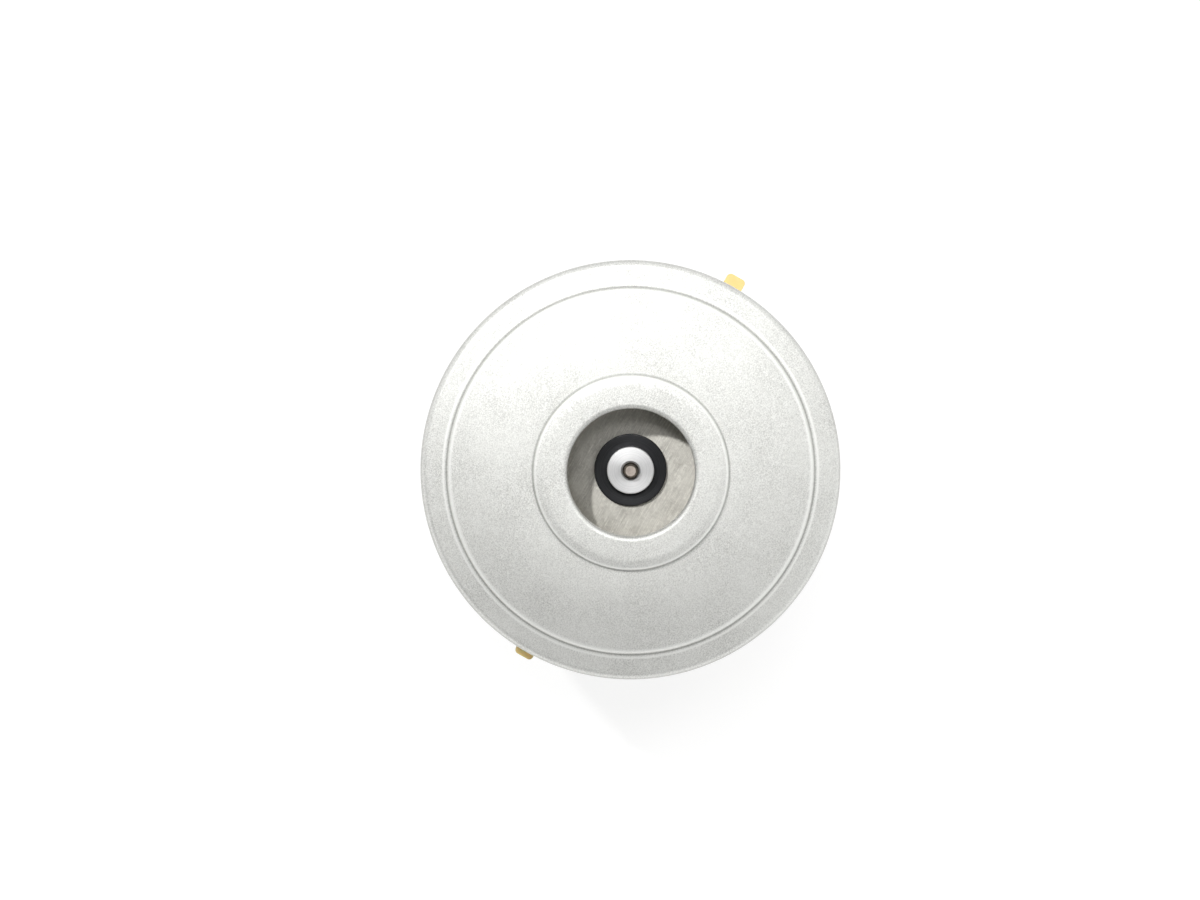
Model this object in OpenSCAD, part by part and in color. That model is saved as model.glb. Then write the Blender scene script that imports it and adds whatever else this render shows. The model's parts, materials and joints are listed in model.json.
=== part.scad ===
// Vacuum motor unit: a single-stage centrifugal fan on a two-pole universal motor.
// The shaft stands along +Z and the rear bearing boss rests on z = 0. The brushes lie along X,
// the field poles along Y. All sizes are in millimetres.

/* [Fan cover] */
// Outside diameter of the cover's skirt
cover_d = 130; // [128:0.5:134]
// Height from the skirt's lower edge to the land around the eye
cover_h = 38; // [37:0.5:41]
// Sheet thickness of the cover
cover_t = 0.8; // [0.6:0.1:1]
// Diameter of the air eye
eye_d = 39.2; // [37:0.2:41]
// Length of the straight wall inside the eye
eye_wall = 3; // [2:0.5:4]
// Radius of the lip that rolls into the eye
lip_r = 2; // [1.5:0.1:2.5]
// Outside diameter of the neck around the eye
neck_d = 59.6; // [58:0.2:62]
// Height of the neck above the dome
neck_h = 3.2; // [3:0.2:5]
// Radius of the neck's upper edge
neck_edge_r = 2.2; // [1.5:0.1:2.6]
// Outside diameter of the cap wall, where the dome steps down to the rim
cap_d = 112.8; // [112:0.2:116]
// Height of the cap wall
cap_h = 1.6; // [1.6:0.2:3]
// Radius of the cap wall's upper edge
cap_edge_r = 1.3; // [0.8:0.1:1.3]
// Radius of the hollow corners at the feet of the neck and the cap wall
foot_r = 0.7; // [0.4:0.1:0.7]
// Slope of the dome beside the neck, degrees
dome_slope_in = 3; // [1:0.5:5]
// Slope of the dome beside the cap wall, degrees
dome_slope_out = 18; // [14:1:20]
// Slope of the rim between the cap wall and the skirt, degrees
rim_slope = 14; // [8:1:18]
// Radius of the rim's outer corner
rim_edge_r = 2.8; // [2:0.1:4]
// Number of punched dents that lock the skirt to the bracket
dent_count = 6; // [4:1:8]
// Height of the dents above the skirt's lower edge
dent_z = 4.6; // [3.5:0.1:5]
// Depth of a dent
dent_depth = 0.4; // [0.2:0.1:0.5]
// Radius of the punch that makes a dent
dent_r = 2.2; // [1.5:0.1:3]

/* [Impeller] */
// Outside diameter of the impeller
impeller_d = 108.6; // [104:0.2:109]
// Sheet thickness of the front plate and the blades
impeller_t = 0.8; // [0.6:0.1:1]
// Thickness of the back plate
back_plate_t = 1; // [0.8:0.1:1.4]
// Depth of the back plate's face below the land around the eye
eye_depth = 18.6; // [18:0.2:20]
// Running gap between the front plate and the cover
impeller_gap = 5; // [4.5:0.1:6]
// Gap between the cover's lip and the front plate's inlet rim around it
inlet_gap = 0.8; // [0.6:0.1:1]
// Height that the inlet rim reaches past the lip's end
inlet_overlap = 1.5; // [0.5:0.1:2]
// Radius of the bend from the front plate to its inlet rim
inlet_bend_r = 4.5; // [3:0.1:5]
// Number of blades
blade_count = 9; // [7:1:11]
// Radius of each blade's curve
blade_curve_r = 50; // [48:1:54]
// Distance of each blade's centre of curvature from the shaft
blade_centre = 32; // [31:0.5:34]
// Distance from the front plate's bend to the blades' inner ends
blade_inset = 0.6; // [0.4:0.1:2]
// Distance from the plates' edge to the blades' outer ends
blade_edge = 0.6; // [0.4:0.1:2]
// Length of a blade's staking tabs
tab_l = 3; // [2:0.5:4]
// Shoulder left on each side of a staking tab, across the blade
tab_shoulder = 0.1; // [0.06:0.02:0.2]
// Height that a staking tab stands past its plate
tab_h = 0.5; // [0.3:0.1:0.7]

/* [Impeller clamp] */
// Diameter of the clamp washer
washer_d = 22.5; // [20:0.5:25]
// Thickness of the clamp washer at the nut
washer_t = 1.4; // [1:0.1:2]
// Drop of the washer's face from the nut to its edge
washer_dish = 0.4; // [0.2:0.1:0.6]
// Diameter of the round nut
nut_d = 14.6; // [12:0.2:16]
// Height of the round nut
nut_h = 3; // [2.5:0.1:4]
// Chamfer on the nut's upper edge
nut_chamfer = 0.4; // [0.2:0.1:0.6]
// Depth of the countersink in the nut's bore
nut_sink = 0.3; // [0.2:0.1:0.5]
// Diameter of the shaft's thread
thread_d = 5; // [4:0.5:6]
// Pitch of the thread's rounds
thread_pitch = 0.8; // [0.7:0.1:1]
// Length of thread that stands out of the nut
thread_out = 3.4; // [2.6:0.2:5]
// Width and height of the chamfer on the shaft's tip
tip_chamfer = 0.9; // [0.5:0.1:1.2]

/* [Shaft and bearings] */
// Diameter of the shaft in the core and the commutator
shaft_d = 9.5; // [9:0.1:10]
// Bore of the bearings
bearing_id = 8; // [7:0.5:8]
// Outside diameter of the bearings
bearing_od = 22; // [22:0.5:24]
// Width of the bearings
bearing_w = 7; // [7:0.5:8]
// Wall of the inner and outer rings at their shoulders
ring_wall = 1.95; // [1.8:0.05:2.1]
// Diameter of the balls
ball_d = 3.9; // [3.6:0.1:4]
// Number of balls in each bearing
ball_count = 7; // [6:1:7]
// Running gap between the balls and their tracks
ball_gap = 0.08; // [0.05:0.01:0.12]
// Thickness of the bearing shields
shield_t = 0.3; // [0.2:0.1:0.4]
// Outside diameter of the impeller's spacer
spacer_d = 11.4; // [10:0.2:11.6]
// Height of the wave spring under the rear bearing
preload_h = 1.2; // [1:0.1:1.5]
// Thickness of the wave spring
preload_t = 0.4; // [0.3:0.05:0.5]
// Number of waves in the spring
wave_count = 3; // [3:1:4]

/* [Armature] */
// Diameter of the armature core
core_d = 46; // [44:0.5:48]
// Length of the armature and stator cores
core_len = 26; // [22:1:32]
// Number of armature slots and commutator bars
slot_count = 22; // [18:1:22]
// Width of a slot's mouth
slot_mouth = 1.6; // [1.4:0.1:1.8]
// Depth of the slot's mouth
mouth_depth = 2.4; // [2:0.1:2.8]
// Radius of the slot's wide end
slot_wide_r = 2; // [1.8:0.1:2]
// Radius of the slot's narrow end
slot_narrow_r = 1; // [0.8:0.1:1.2]
// Depth of a slot below its mouth
slot_depth = 8.6; // [8:0.1:9.4]
// Thickness of the slot lining, left as a gap
liner_t = 0.2; // [0.15:0.05:0.3]
// Thickness of the insulating discs on the core's ends
insulator_t = 1; // [0.8:0.1:1.5]
// Height of the winding heads above the core
winding_head = 7; // [6:0.5:8]
// Outside diameter of the commutator
comm_d = 23; // [21:0.5:25]
// Length of the commutator
comm_len = 17; // [16.5:0.5:20]
// Radial thickness of the commutator bars
bar_t = 3; // [2.5:0.1:3.5]
// Slit between neighbouring bars
bar_slit = 0.5; // [0.4:0.1:0.7]
// Height of the bars' winding hooks
hook_h = 2.4; // [2:0.1:3]
// Reach of the hooks beyond the bars
hook_out = 1.6; // [1:0.1:1.8]
// Distance from the rear bearing to the commutator
comm_gap = 5; // [4:0.5:7]
// Distance from the commutator to the core
comm_to_core = 9.6; // [9.4:0.1:12]
// Distance from the core to the front bearing
core_to_bearing = 12.5; // [12:0.5:15]

/* [Stator] */
// Outside diameter of the stator core
stator_d = 88.4; // [86:0.2:92]
// Distance across the stator core's two flats
stator_flats = 84; // [82:0.5:85]
// Air gap between the armature and the poles
air_gap = 0.6; // [0.4:0.1:0.8]
// Thickness of the pole tips
pole_tip_t = 3.8; // [3:0.1:4.5]
// Width of a pole's body
pole_w = 30; // [26:1:32]
// Thickness of the yoke
yoke_t = 8.4; // [7.6:0.1:9]
// Half angle of the gap between the pole tips, degrees
tip_gap = 20; // [15:1:24]
// Gap around the field coils for their lining
coil_gap = 0.5; // [0.3:0.1:0.7]
// Distance between the two field coils at the brush axis
coil_split = 6; // [4:1:10]
// Height of the coil heads above the core
coil_head = 7.2; // [6.5:0.1:8]
// Thickness of the coil frames
coil_frame_t = 1.2; // [1:0.1:1.5]
// Half angle of the coil frames' guard walls, degrees
guard_angle = 24; // [18:1:26]
// Diameter of the stator screws
stator_screw_d = 4; // [3:0.5:4]
// Diameter of the spacers above the stator core
stator_spacer_d = 6.4; // [6:0.2:6.8]

/* [Bracket and frame] */
// Sheet thickness of the front bracket
bracket_t = 1.5; // [1.2:0.1:1.8]
// Height of the bracket's rim inside the skirt
bracket_rim_h = 7; // [6:0.5:9]
// Radius of the bracket's outer corner
bracket_edge_r = 3; // [2.5:0.1:3.5]
// Radius at the mouth of the front bearing's cup
cup_mouth_r = 2; // [1.9:0.1:2.4]
// Distance from the bracket's underside to the front bearing
cup_depth = 2.5; // [2.5:0.1:4]
// Diameter of the shaft's hole in the front cup
cup_hole_d = 14; // [13:0.5:16]
// Inner diameter of the bracket's air windows
bracket_window_id = 50; // [48:1:54]
// Outer diameter of the bracket's air windows
bracket_window_od = 86; // [80:1:87]
// Width of the spokes between the bracket's windows
spoke_w = 13; // [11:1:16]
// Sheet thickness of the rear frame
frame_t = 1.2; // [1:0.1:1.4]
// Width of the rear frame's flange
flange_w = 11.5; // [10:0.5:13]
// Height of the rear bearing boss
boss_h = 11; // [11:0.5:12]
// Radius of the frame's bends
frame_bend_r = 1.6; // [1.5:0.1:2]
// Radius of the frame's lower corner
frame_corner_r = 5; // [3:0.5:6]
// Width of the exhaust windows in the frame's side
exhaust_w = 52; // [40:1:54]
// Width of the brush windows in the frame's side
brush_window_w = 22; // [20:1:26]
// Height of the wall left under the exhaust windows
sill_h = 4; // [3:0.5:5]
// Height from the top of the windows to the stator core
window_drop = 2.5; // [2:0.5:4]
// Corner radius of the windows
window_r = 3; // [2:0.5:4]
// Radius, from the shaft, of the middle of the floor vents
vent_mid_r = 28; // [27:0.5:29]
// Width of the floor vents
vent_w = 16; // [12:1:17]
// Half angle of a floor vent between its round ends, degrees
vent_angle = 36; // [30:1:40]
// Diameter of the frame screws
frame_screw_d = 4; // [3:0.5:4]

/* [Diffuser] */
// Gap between the impeller's back plate and the diffuser
diffuser_gap = 2.2; // [1.5:0.1:3]
// Thickness of the diffuser's disc
diffuser_t = 1.8; // [1.5:0.1:2.5]
// Distance that the disc reaches past the impeller
diffuser_out = 3; // [2:0.5:3.5]
// Number of return vanes
vane_count = 11; // [9:1:13]
// Thickness of a vane
vane_t = 1.4; // [1.2:0.1:2]
// Height of the base ring under the vanes
base_ring_h = 2.2; // [1.8:0.1:3]
// Width of the base ring
base_ring_w = 5; // [4:0.5:6]
// Wall of the diffuser's hub
hub_wall = 2; // [1.5:0.1:2.5]
// Width of a locating lug
lug_w = 6.2; // [5:0.2:8]
// Height of a locating lug
lug_h = 3; // [2.5:0.1:4]
// Reach of a lug beyond the skirt
lug_out = 4; // [2:0.1:5]
// Distance of the diffuser screws from the shaft
diffuser_screw_r = 19.5; // [19:0.5:20.5]
// Diameter of the diffuser screws
diffuser_screw_d = 3; // [2.5:0.5:3]

/* [Brush gear] */
// Width of a carbon brush, around the commutator
brush_w = 6.3; // [5:0.1:7]
// Height of a carbon brush, along the commutator
brush_h = 11; // [9:0.5:11]
// Length of a new carbon brush
brush_len = 29; // [26:0.5:30]
// Distance from the commutator's lower end to the brush's middle
brush_offset = 8; // [7.8:0.1:8.4]
// Gap between a brush and the commutator
brush_seat = 0.15; // [0.1:0.05:0.2]
// Sliding gap around a brush
brush_slide = 0.1; // [0.05:0.05:0.15]
// Wall of the brass brush tube
tube_t = 0.5; // [0.4:0.1:0.8]
// Gap between the commutator's hooks and the brush tube
tube_gap = 0.8; // [0.6:0.1:1.2]
// Length left for the spring behind a new brush
spring_len = 9; // [8.5:0.5:11]
// Outside diameter of the brush spring
spring_d = 5.4; // [4.6:0.1:5.8]
// Diameter of the spring's wire
spring_wire = 0.5; // [0.4:0.05:0.6]
// Number of turns in the spring
spring_turns = 7; // [5:1:8]
// Diameter of the brush's copper pigtail
pigtail_d = 1.4; // [1:0.1:1.6]
// Straight run of the pigtail where it leaves the brush and where it meets the terminal
pigtail_end = 0.8; // [0.6:0.1:1.2]
// Wall of the plastic brush holder
holder_wall = 2.3; // [2:0.1:3]
// Reach of the holder past the end of its tube
holder_lip = 4; // [3:0.5:5]
// Distance of the holder's screws from the shaft
holder_screw_x = 31; // [29:0.5:33]
// Diameter of the holder's screws
holder_screw_d = 3; // [2.5:0.5:3]
// Thickness of the holder's screw ears
ear_t = 3; // [2.5:0.1:4]
// Width of the push-on spades
spade_w = 6.3; // [4.8:1.5:6.3]
// Thickness of the spades
spade_t = 0.8; // [0.5:0.1:0.8]
// Length of the spades
spade_l = 9; // [8:0.5:10]
// Diameter of the leads from coil to brush
lead_d = 2; // [1.6:0.1:2.2]

/* [Fits] */
// Gap left at pressed fits, on the radius
press_gap = 0.02; // [0.01:0.01:0.04]
// Gap around pieces that drop in, on each side
loose_gap = 0.3; // [0.2:0.05:0.4]

/* [Hidden] */
$fn = 96;
eps = 0.01;
cut = 0.5;
arc_steps = 6;
dome_steps = 10;

cover_r = cover_d / 2;
eye_r = eye_d / 2;
neck_r = neck_d / 2;
cap_r = cap_d / 2;
impeller_r = impeller_d / 2;
core_r = core_d / 2;
comm_r = comm_d / 2;
shaft_r = shaft_d / 2;
journal_r = bearing_id / 2;
thread_r = thread_d / 2;
stator_r = stator_d / 2;

// Heights up the shaft, from the rear boss to the eye
rear_bearing_z = frame_t + preload_h;
comm_z = rear_bearing_z + bearing_w + comm_gap;
core_z = comm_z + comm_len + comm_to_core;
core_top = core_z + core_len;
front_bearing_z = core_top + core_to_bearing;
bracket_z = front_bearing_z - cup_depth;
bracket_top = bracket_z + bracket_t;
top_z = bracket_z + cover_h;
back_plate_z = top_z - eye_depth - back_plate_t;
back_plate_top = back_plate_z + back_plate_t;
nut_z = back_plate_top + washer_t;
tip_z = nut_z + nut_h + thread_out;
floor_top = boss_h + frame_t;
brush_z = comm_z + brush_offset;

// Fan cover, from the eye outwards and down
neck_foot_z = top_z - neck_h;
dome_r = (cap_r - neck_r) / (sin(dome_slope_out) - sin(dome_slope_in));
function dome(a) = [
  neck_r + dome_r * (sin(a) - sin(dome_slope_in)),
  neck_foot_z - dome_r * (cos(dome_slope_in) - cos(a)),
];
cap_top_z = dome(dome_slope_out).y;
cap_foot_z = cap_top_z - cap_h;
rim_z = cap_foot_z - (cover_r - cap_r) * tan(rim_slope);
skirt_inner_r = cover_r - cover_t;

// Impeller: the front plate lies under the dome by the running gap
front_drop = cover_t + impeller_gap;
inlet_rim_r = eye_r + cover_t + inlet_gap + impeller_t;
inlet_z = neck_foot_z - front_drop + (neck_r - inlet_rim_r) * tan(dome_slope_in);
inlet_top_z = top_z - lip_r - eye_wall + inlet_overlap;
blade_in_r = inlet_rim_r + inlet_bend_r + blade_inset;
blade_out_r = impeller_r - blade_edge;
function slope_at(r) = asin(sin(dome_slope_in) + (r - neck_r) / dome_r);
function front_top(r) = r < neck_r
  ? neck_foot_z - front_drop + (neck_r - r) * tan(dome_slope_in)
  : dome(slope_at(r)).y - front_drop;
function front_under(r) = front_top(r) - impeller_t / cos(max(slope_at(r), dome_slope_in)) - press_gap;

// Bearings
pitch_r = (bearing_od + bearing_id) / 4;
track_r = ball_d / 2 + ball_gap;
inner_ring_r = journal_r + ring_wall;
outer_ring_r = bearing_od / 2 - ring_wall;
shield_inset = 0.4;

// Bracket and frame
bracket_r = skirt_inner_r - press_gap;
cup_r = bearing_od / 2 + press_gap;
cup_top = front_bearing_z + bearing_w;
frame_in_r = stator_r + press_gap;
frame_r = frame_in_r + frame_t;
flange_r = frame_r + flange_w;
boss_r = bearing_od / 2 + press_gap + frame_t;
window_top = core_z - window_drop;
frame_screw_r = frame_r + flange_w / 2;
head_share = 0.95;

// Stator: bore, slots and yoke
bore_r = core_r + air_gap;
slot_in_r = bore_r + pole_tip_t;
slot_out_r = stator_r - yoke_t;
coil_in_r = slot_in_r + coil_gap;
coil_out_r = slot_out_r - coil_gap;
stator_screw_inset = 0.5;
stator_screw_r = slot_out_r + yoke_t / 2 - stator_screw_inset;
stator_screw_angle = 45;
guard_t = 1.1;
screw_head_r = stator_screw_d * head_share;

// Diffuser
disc_r = impeller_r + diffuser_out;
disc_top = back_plate_z - diffuser_gap;
disc_z = disc_top - diffuser_t;
hub_in_r = cup_r + max(bracket_t, cup_mouth_r) + loose_gap;
base_ring_r = bracket_r - bracket_edge_r - loose_gap / 2;
vane_z = bracket_top + base_ring_h;
screw_boss_wall = 2.7;
screw_boss_r = diffuser_screw_d / 2 + screw_boss_wall;
screw_sink = 1.5;
diffuser_screw_angle = 30;

// Brush gear, along X
brush_tip = comm_r + brush_seat;
brush_end = brush_tip + brush_len;
tube_start = comm_r + hook_out + tube_gap;
tube_end = brush_end + spring_len;
channel_w = brush_w + 2 * brush_slide;
channel_h = brush_h + 2 * brush_slide;
tube_w = channel_w + 2 * tube_t;
tube_h = channel_h + 2 * tube_t;
holder_in_w = tube_w + 2 * press_gap;
holder_in_h = tube_h + 2 * press_gap;
holder_w = holder_in_w + 2 * holder_wall;
holder_low = brush_z - holder_in_h / 2 - holder_wall;
holder_top = brush_z + holder_in_h / 2 + holder_wall;
holder_start = tube_start + 0.5;
holder_end = tube_end + spade_t + holder_lip;
holder_foot_end = frame_r - frame_corner_r - loose_gap;
ear_w = 2 * holder_screw_d + 1;
holder_screw_y = holder_w / 2 + ear_w / 2;
ear_l = 10;
tab_w = 3;

// Coil lead: points from the coil's lower head to the brush terminal's solder tab
coil_low = core_z - coil_head;
lead_end = [tube_end - press_gap, 0, coil_low + 0.3];
tab_top = lead_end.z + lead_d;
lead_route = [
  [30, 12.5, coil_low - press_gap],
  [30, 12.5, coil_low - 1.2],
  [31, 12.3, coil_low - 2],
  [33.2, 11.8, coil_low - 2.1],
  [36.5, 10.8, coil_low - 1.7],
  [40, 8.8, coil_low - 0.8],
  [43.4, 5, coil_low],
  [45.6, 1.6, coil_low + 0.3],
  lead_end - [2, 0, 0],
  lead_end,
];

steel = [0.76, 0.77, 0.76];
aluminium = [0.72, 0.70, 0.66];
bright = [0.88, 0.88, 0.88];
black = [0.13, 0.14, 0.16];
yellow = [0.95, 0.83, 0.47];
copper = [0.72, 0.38, 0.18];
lamination = [0.42, 0.43, 0.45];
brass = [0.80, 0.66, 0.34];
ivory = [0.90, 0.87, 0.78];
dark = [0.22, 0.2, 0.19];

// Outlines of bent sheet: a path of corners, each with its bend radius

function unit(v) = v / norm(v);
function left(d) = [-d.y, d.x];
function turn(u, v) = sign(v.x * u.y - u.x * v.y);
function bend(a, b, c, r) =
  let (
    u = unit(a - b),
    v = unit(c - b),
    half = acos(u * v) / 2,
    centre = b + unit(u + v) * r / sin(half),
    p = b + u * r / tan(half) - centre,
    start = atan2(p.y, p.x),
    sweep = turn(u, v) * (180 - 2 * half)
  )
  [
    for (i = [0:arc_steps])
      let (angle = start + sweep * i / arc_steps)
      centre + r * [cos(angle), sin(angle)]
  ];
function rounded(corners, radii) = [
  for (i = [0:len(corners) - 1])
    each radii[i] == 0 ? [corners[i]] : bend(corners[i - 1], corners[i], corners[i + 1], radii[i])
];
function beside(path, t) = [
  for (i = [0:len(path) - 1])
    let (
      last = len(path) - 1,
      before = left(unit(path[max(i, 1)] - path[max(i, 1) - 1])),
      after = left(unit(path[min(i, last - 1) + 1] - path[min(i, last - 1)])),
      n = unit(before + after)
    )
    path[i] + n * t / (n * before)
];
function reversed(path) = [for (i = [len(path) - 1:-1:0]) path[i]];
module sheet(path, t) {
  polygon(concat(path, reversed(beside(path, t))));
}

// Round and flat shapes that repeat

module tube(outer, inner, z, h) {
  translate([0, 0, z])
    difference() {
      cylinder(r = outer, h = h);
      translate([0, 0, -cut]) cylinder(r = inner, h = h + 2 * cut);
    }
}

module ring_2d(outer, inner) {
  difference() {
    circle(r = outer);
    circle(r = inner);
  }
}

module block(x, y, z) {
  translate([x[0], y[0], z[0]]) cube([x[1] - x[0], y[1] - y[0], z[1] - z[0]]);
}

module both_sides() {
  children();
  rotate(180) children();
}

module around(count, first = 0) {
  for (i = [0:count - 1]) rotate(first + i * 360 / count) children();
}

module wedge_2d(a0, a1, reach) {
  polygon([[0, 0], for (i = [0:4]) reach * [cos(a0 + (a1 - a0) * i / 4), sin(a0 + (a1 - a0) * i / 4)]]);
}

module rounded_rect(w, h, r) {
  square([w - 2 * r, h], center = true);
  square([w, h - 2 * r], center = true);
  for (x = [-1, 1], y = [-1, 1]) translate([x * (w / 2 - r), y * (h / 2 - r)]) circle(r = r);
}

// Screw with a cross recess; its head sits on z = 0 and its shank points down
module screw(d, shank, head_h) {
  head_r = d * head_share;
  side_h = head_h * 0.7;
  top_r = head_r * 0.8;
  slot_l = head_r * 1.1;
  slot_w = d * 0.2;
  slot_low = head_h * 0.4;
  difference() {
    union() {
      cylinder(r = head_r, h = side_h);
      translate([0, 0, side_h]) cylinder(r1 = head_r, r2 = top_r, h = head_h - side_h);
      translate([0, 0, -shank]) cylinder(r = d / 2, h = shank + eps);
    }
    for (a = [0, 90])
      rotate(a)
        block([-slot_l / 2, slot_l / 2], [-slot_w / 2, slot_w / 2], [slot_low, head_h + cut]);
  }
}

// Hole for a screw through a sheet whose underside is at z
module screw_hole(d, z, t) {
  translate([0, 0, z - cut]) cylinder(d = d + 2 * press_gap, h = t + 2 * cut);
}

// Push-on spade along +X from x = 0, with its detent hole
module spade(l) {
  nose = 1.2;
  detent_d = 1.8;
  translate([0, 0, -spade_t / 2])
    linear_extrude(spade_t)
      difference() {
        polygon([
          [0, -spade_w / 2], [l - nose, -spade_w / 2], [l, -spade_w / 2 + nose],
          [l, spade_w / 2 - nose], [l - nose, spade_w / 2], [0, spade_w / 2],
        ]);
        translate([l - 2.5 * nose, 0]) circle(d = detent_d);
      }
}

// Round wire along a path, with a ring of corners square to the path at each point
function ahead(path, i) = unit(path[min(i + 1, len(path) - 1)] - path[max(i - 1, 0)]);
module wire(path, d, sides, up) {
  n = len(path);
  points = [
    for (i = [0:n - 1])
      let (
        t = ahead(path, i),
        u = unit(cross(up, t)),
        v = cross(t, u)
      )
      for (k = [0:sides - 1])
        path[i] + d / 2 * (u * cos(k * 360 / sides) + v * sin(k * 360 / sides))
  ];
  skin = [
    for (i = [0:n - 2], k = [0:sides - 1])
      let (
        a = i * sides + k,
        b = i * sides + (k + 1) % sides
      )
      each [[a, a + sides, b], [b, a + sides, b + sides]]
  ];
  polyhedron(points, [
    for (f = skin) f,
    for (k = [1:sides - 2]) [0, k, k + 1],
    for (k = [1:sides - 2]) [(n - 1) * sides, (n - 1) * sides + k + 1, (n - 1) * sides + k],
  ]);
}

// Fan cover

cover_path = rounded(
  concat(
    [[cover_r, bracket_z], [cover_r, rim_z], [cap_r, cap_foot_z]],
    [for (i = [dome_steps:-1:0]) dome(dome_slope_in + (dome_slope_out - dome_slope_in) * i / dome_steps)],
    [[neck_r, top_z], [eye_r, top_z], [eye_r, top_z - lip_r - eye_wall]]
  ),
  concat(
    [0, rim_edge_r, foot_r],
    [for (i = [dome_steps:-1:0]) i == dome_steps ? cap_edge_r : i == 0 ? foot_r : 0],
    [neck_edge_r, lip_r, 0]
  )
);

module lug_room(gap) {
  both_sides()
    block(
      [base_ring_r - base_ring_w, cover_r + lug_out + cut],
      [-lug_w / 2 - gap, lug_w / 2 + gap],
      [bracket_top, bracket_top + lug_h + gap]
    );
}

module fan_cover() {
  color(steel)
    difference() {
      rotate_extrude() sheet(cover_path, cover_t);
      lug_room(loose_gap);
      both_sides()
        block(
          [skirt_inner_r - cut, cover_r + cut],
          [-lug_w / 2 - loose_gap, lug_w / 2 + loose_gap],
          [bracket_z - cut, bracket_top + eps]
        );
      around(dent_count, 180 / dent_count)
        translate([cover_r + dent_r - dent_depth, 0, bracket_z + dent_z])
          sphere(r = dent_r);
    }
}

// Impeller

front_path = rounded(
  concat(
    [for (i = [0:dome_steps])
      let (r = impeller_r + (neck_r - impeller_r) * i / dome_steps)
      [r, front_top(r)]],
    [[inlet_rim_r, inlet_z], [inlet_rim_r, inlet_top_z]]
  ),
  concat([for (i = [0:dome_steps]) 0], [inlet_bend_r, 0])
);

module blade_2d(thickness) {
  intersection() {
    translate([blade_centre, 0])
      ring_2d(blade_curve_r + thickness / 2, blade_curve_r - thickness / 2);
    translate([-impeller_d, 0]) square(2 * impeller_d);
    ring_2d(blade_out_r, blade_in_r);
  }
}

// Staking tabs at two places along a blade's curve
tab_at = [0.22, 0.78];
function blade_angle(r) =
  acos((r * r - blade_centre * blade_centre - blade_curve_r * blade_curve_r)
    / (2 * blade_centre * blade_curve_r));
module tabs_of_blade(gap) {
  tab_half = impeller_t / 2 - tab_shoulder;
  for (s = tab_at)
    let (r = blade_in_r + (blade_out_r - blade_in_r) * s)
      translate([blade_centre, 0, 0])
        rotate(blade_angle(r))
          block(
            [blade_curve_r - tab_half - gap, blade_curve_r + tab_half + gap],
            [-tab_l / 2 - gap, tab_l / 2 + gap],
            [back_plate_z - tab_h, front_top(r) + tab_h]
          );
}

module impeller_front_plate() {
  color(aluminium)
    difference() {
      rotate_extrude() sheet(front_path, impeller_t);
      around(blade_count) tabs_of_blade(press_gap);
    }
}

module impeller_back_plate() {
  color(aluminium)
    difference() {
      tube(impeller_r, journal_r + press_gap, back_plate_z, back_plate_t);
      around(blade_count) tabs_of_blade(press_gap);
    }
}

module impeller_blades() {
  color(aluminium)
    around(blade_count) {
      intersection() {
        translate([0, 0, back_plate_top]) linear_extrude(top_z - back_plate_top) blade_2d(impeller_t);
        rotate_extrude()
          polygon(concat(
            [[blade_in_r - cut, back_plate_top], [impeller_r, back_plate_top]],
            [for (i = [0:dome_steps])
              let (r = impeller_r + (blade_in_r - cut - impeller_r) * i / dome_steps)
              [r, front_under(r)]]
          ));
      }
      tabs_of_blade(0);
    }
}

module impeller_spacer() {
  color(steel) tube(spacer_d / 2, journal_r + press_gap, cup_top, back_plate_z - cup_top);
}

module clamp_washer() {
  edge = 0.4;
  r = washer_d / 2;
  seat_r = nut_d / 2;
  color(black)
    rotate_extrude()
      translate([0, back_plate_top])
        polygon([
          [thread_r + press_gap, 0], [r - edge, 0], [r, edge], [r, washer_t - washer_dish - edge],
          [r - edge, washer_t - washer_dish], [seat_r, washer_t], [thread_r + press_gap, washer_t],
        ]);
}

module fan_nut() {
  r = nut_d / 2;
  bore = thread_r + press_gap;
  color(bright)
    rotate_extrude()
      translate([0, nut_z])
        polygon([
          [bore, 0], [r - nut_chamfer / 2, 0], [r, nut_chamfer / 2], [r, nut_h - nut_chamfer],
          [r - nut_chamfer, nut_h], [bore + nut_sink, nut_h], [bore, nut_h - nut_sink],
        ]);
}

module shaft() {
  rear_stub = 0.6;
  seat_sink = 0.2;
  ridge = 0.3;
  rear_end = rear_bearing_z - rear_stub;
  seat = back_plate_top - seat_sink;
  thread_start = nut_z + nut_h;
  rounds = floor((thread_out - tip_chamfer) / thread_pitch);
  color(bright)
    rotate_extrude()
      polygon(concat(
        [
          [0, rear_end], [journal_r - tip_chamfer / 2, rear_end], [journal_r, rear_end + tip_chamfer / 2],
          [journal_r, rear_bearing_z + bearing_w], [shaft_r, rear_bearing_z + bearing_w],
          [shaft_r, front_bearing_z], [journal_r, front_bearing_z], [journal_r, seat], [thread_r, seat],
          [thread_r, thread_start],
        ],
        [for (i = [0:rounds - 1])
          each [
            [thread_r - ridge, thread_start + (i + 0.5) * thread_pitch],
            [thread_r, thread_start + (i + 1) * thread_pitch],
          ]],
        [[thread_r, tip_z - tip_chamfer], [thread_r - tip_chamfer, tip_z], [0, tip_z]]
      ));
}

// Diffuser and front bracket

vane_curve_r = 46;
vane_centre = 34;
module vane_2d() {
  intersection() {
    translate([vane_centre, 0]) ring_2d(vane_curve_r + vane_t / 2, vane_curve_r - vane_t / 2);
    translate([-impeller_d, -2 * impeller_d]) square(2 * impeller_d);
    ring_2d(base_ring_r - eps, hub_in_r + hub_wall / 2);
  }
}

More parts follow.
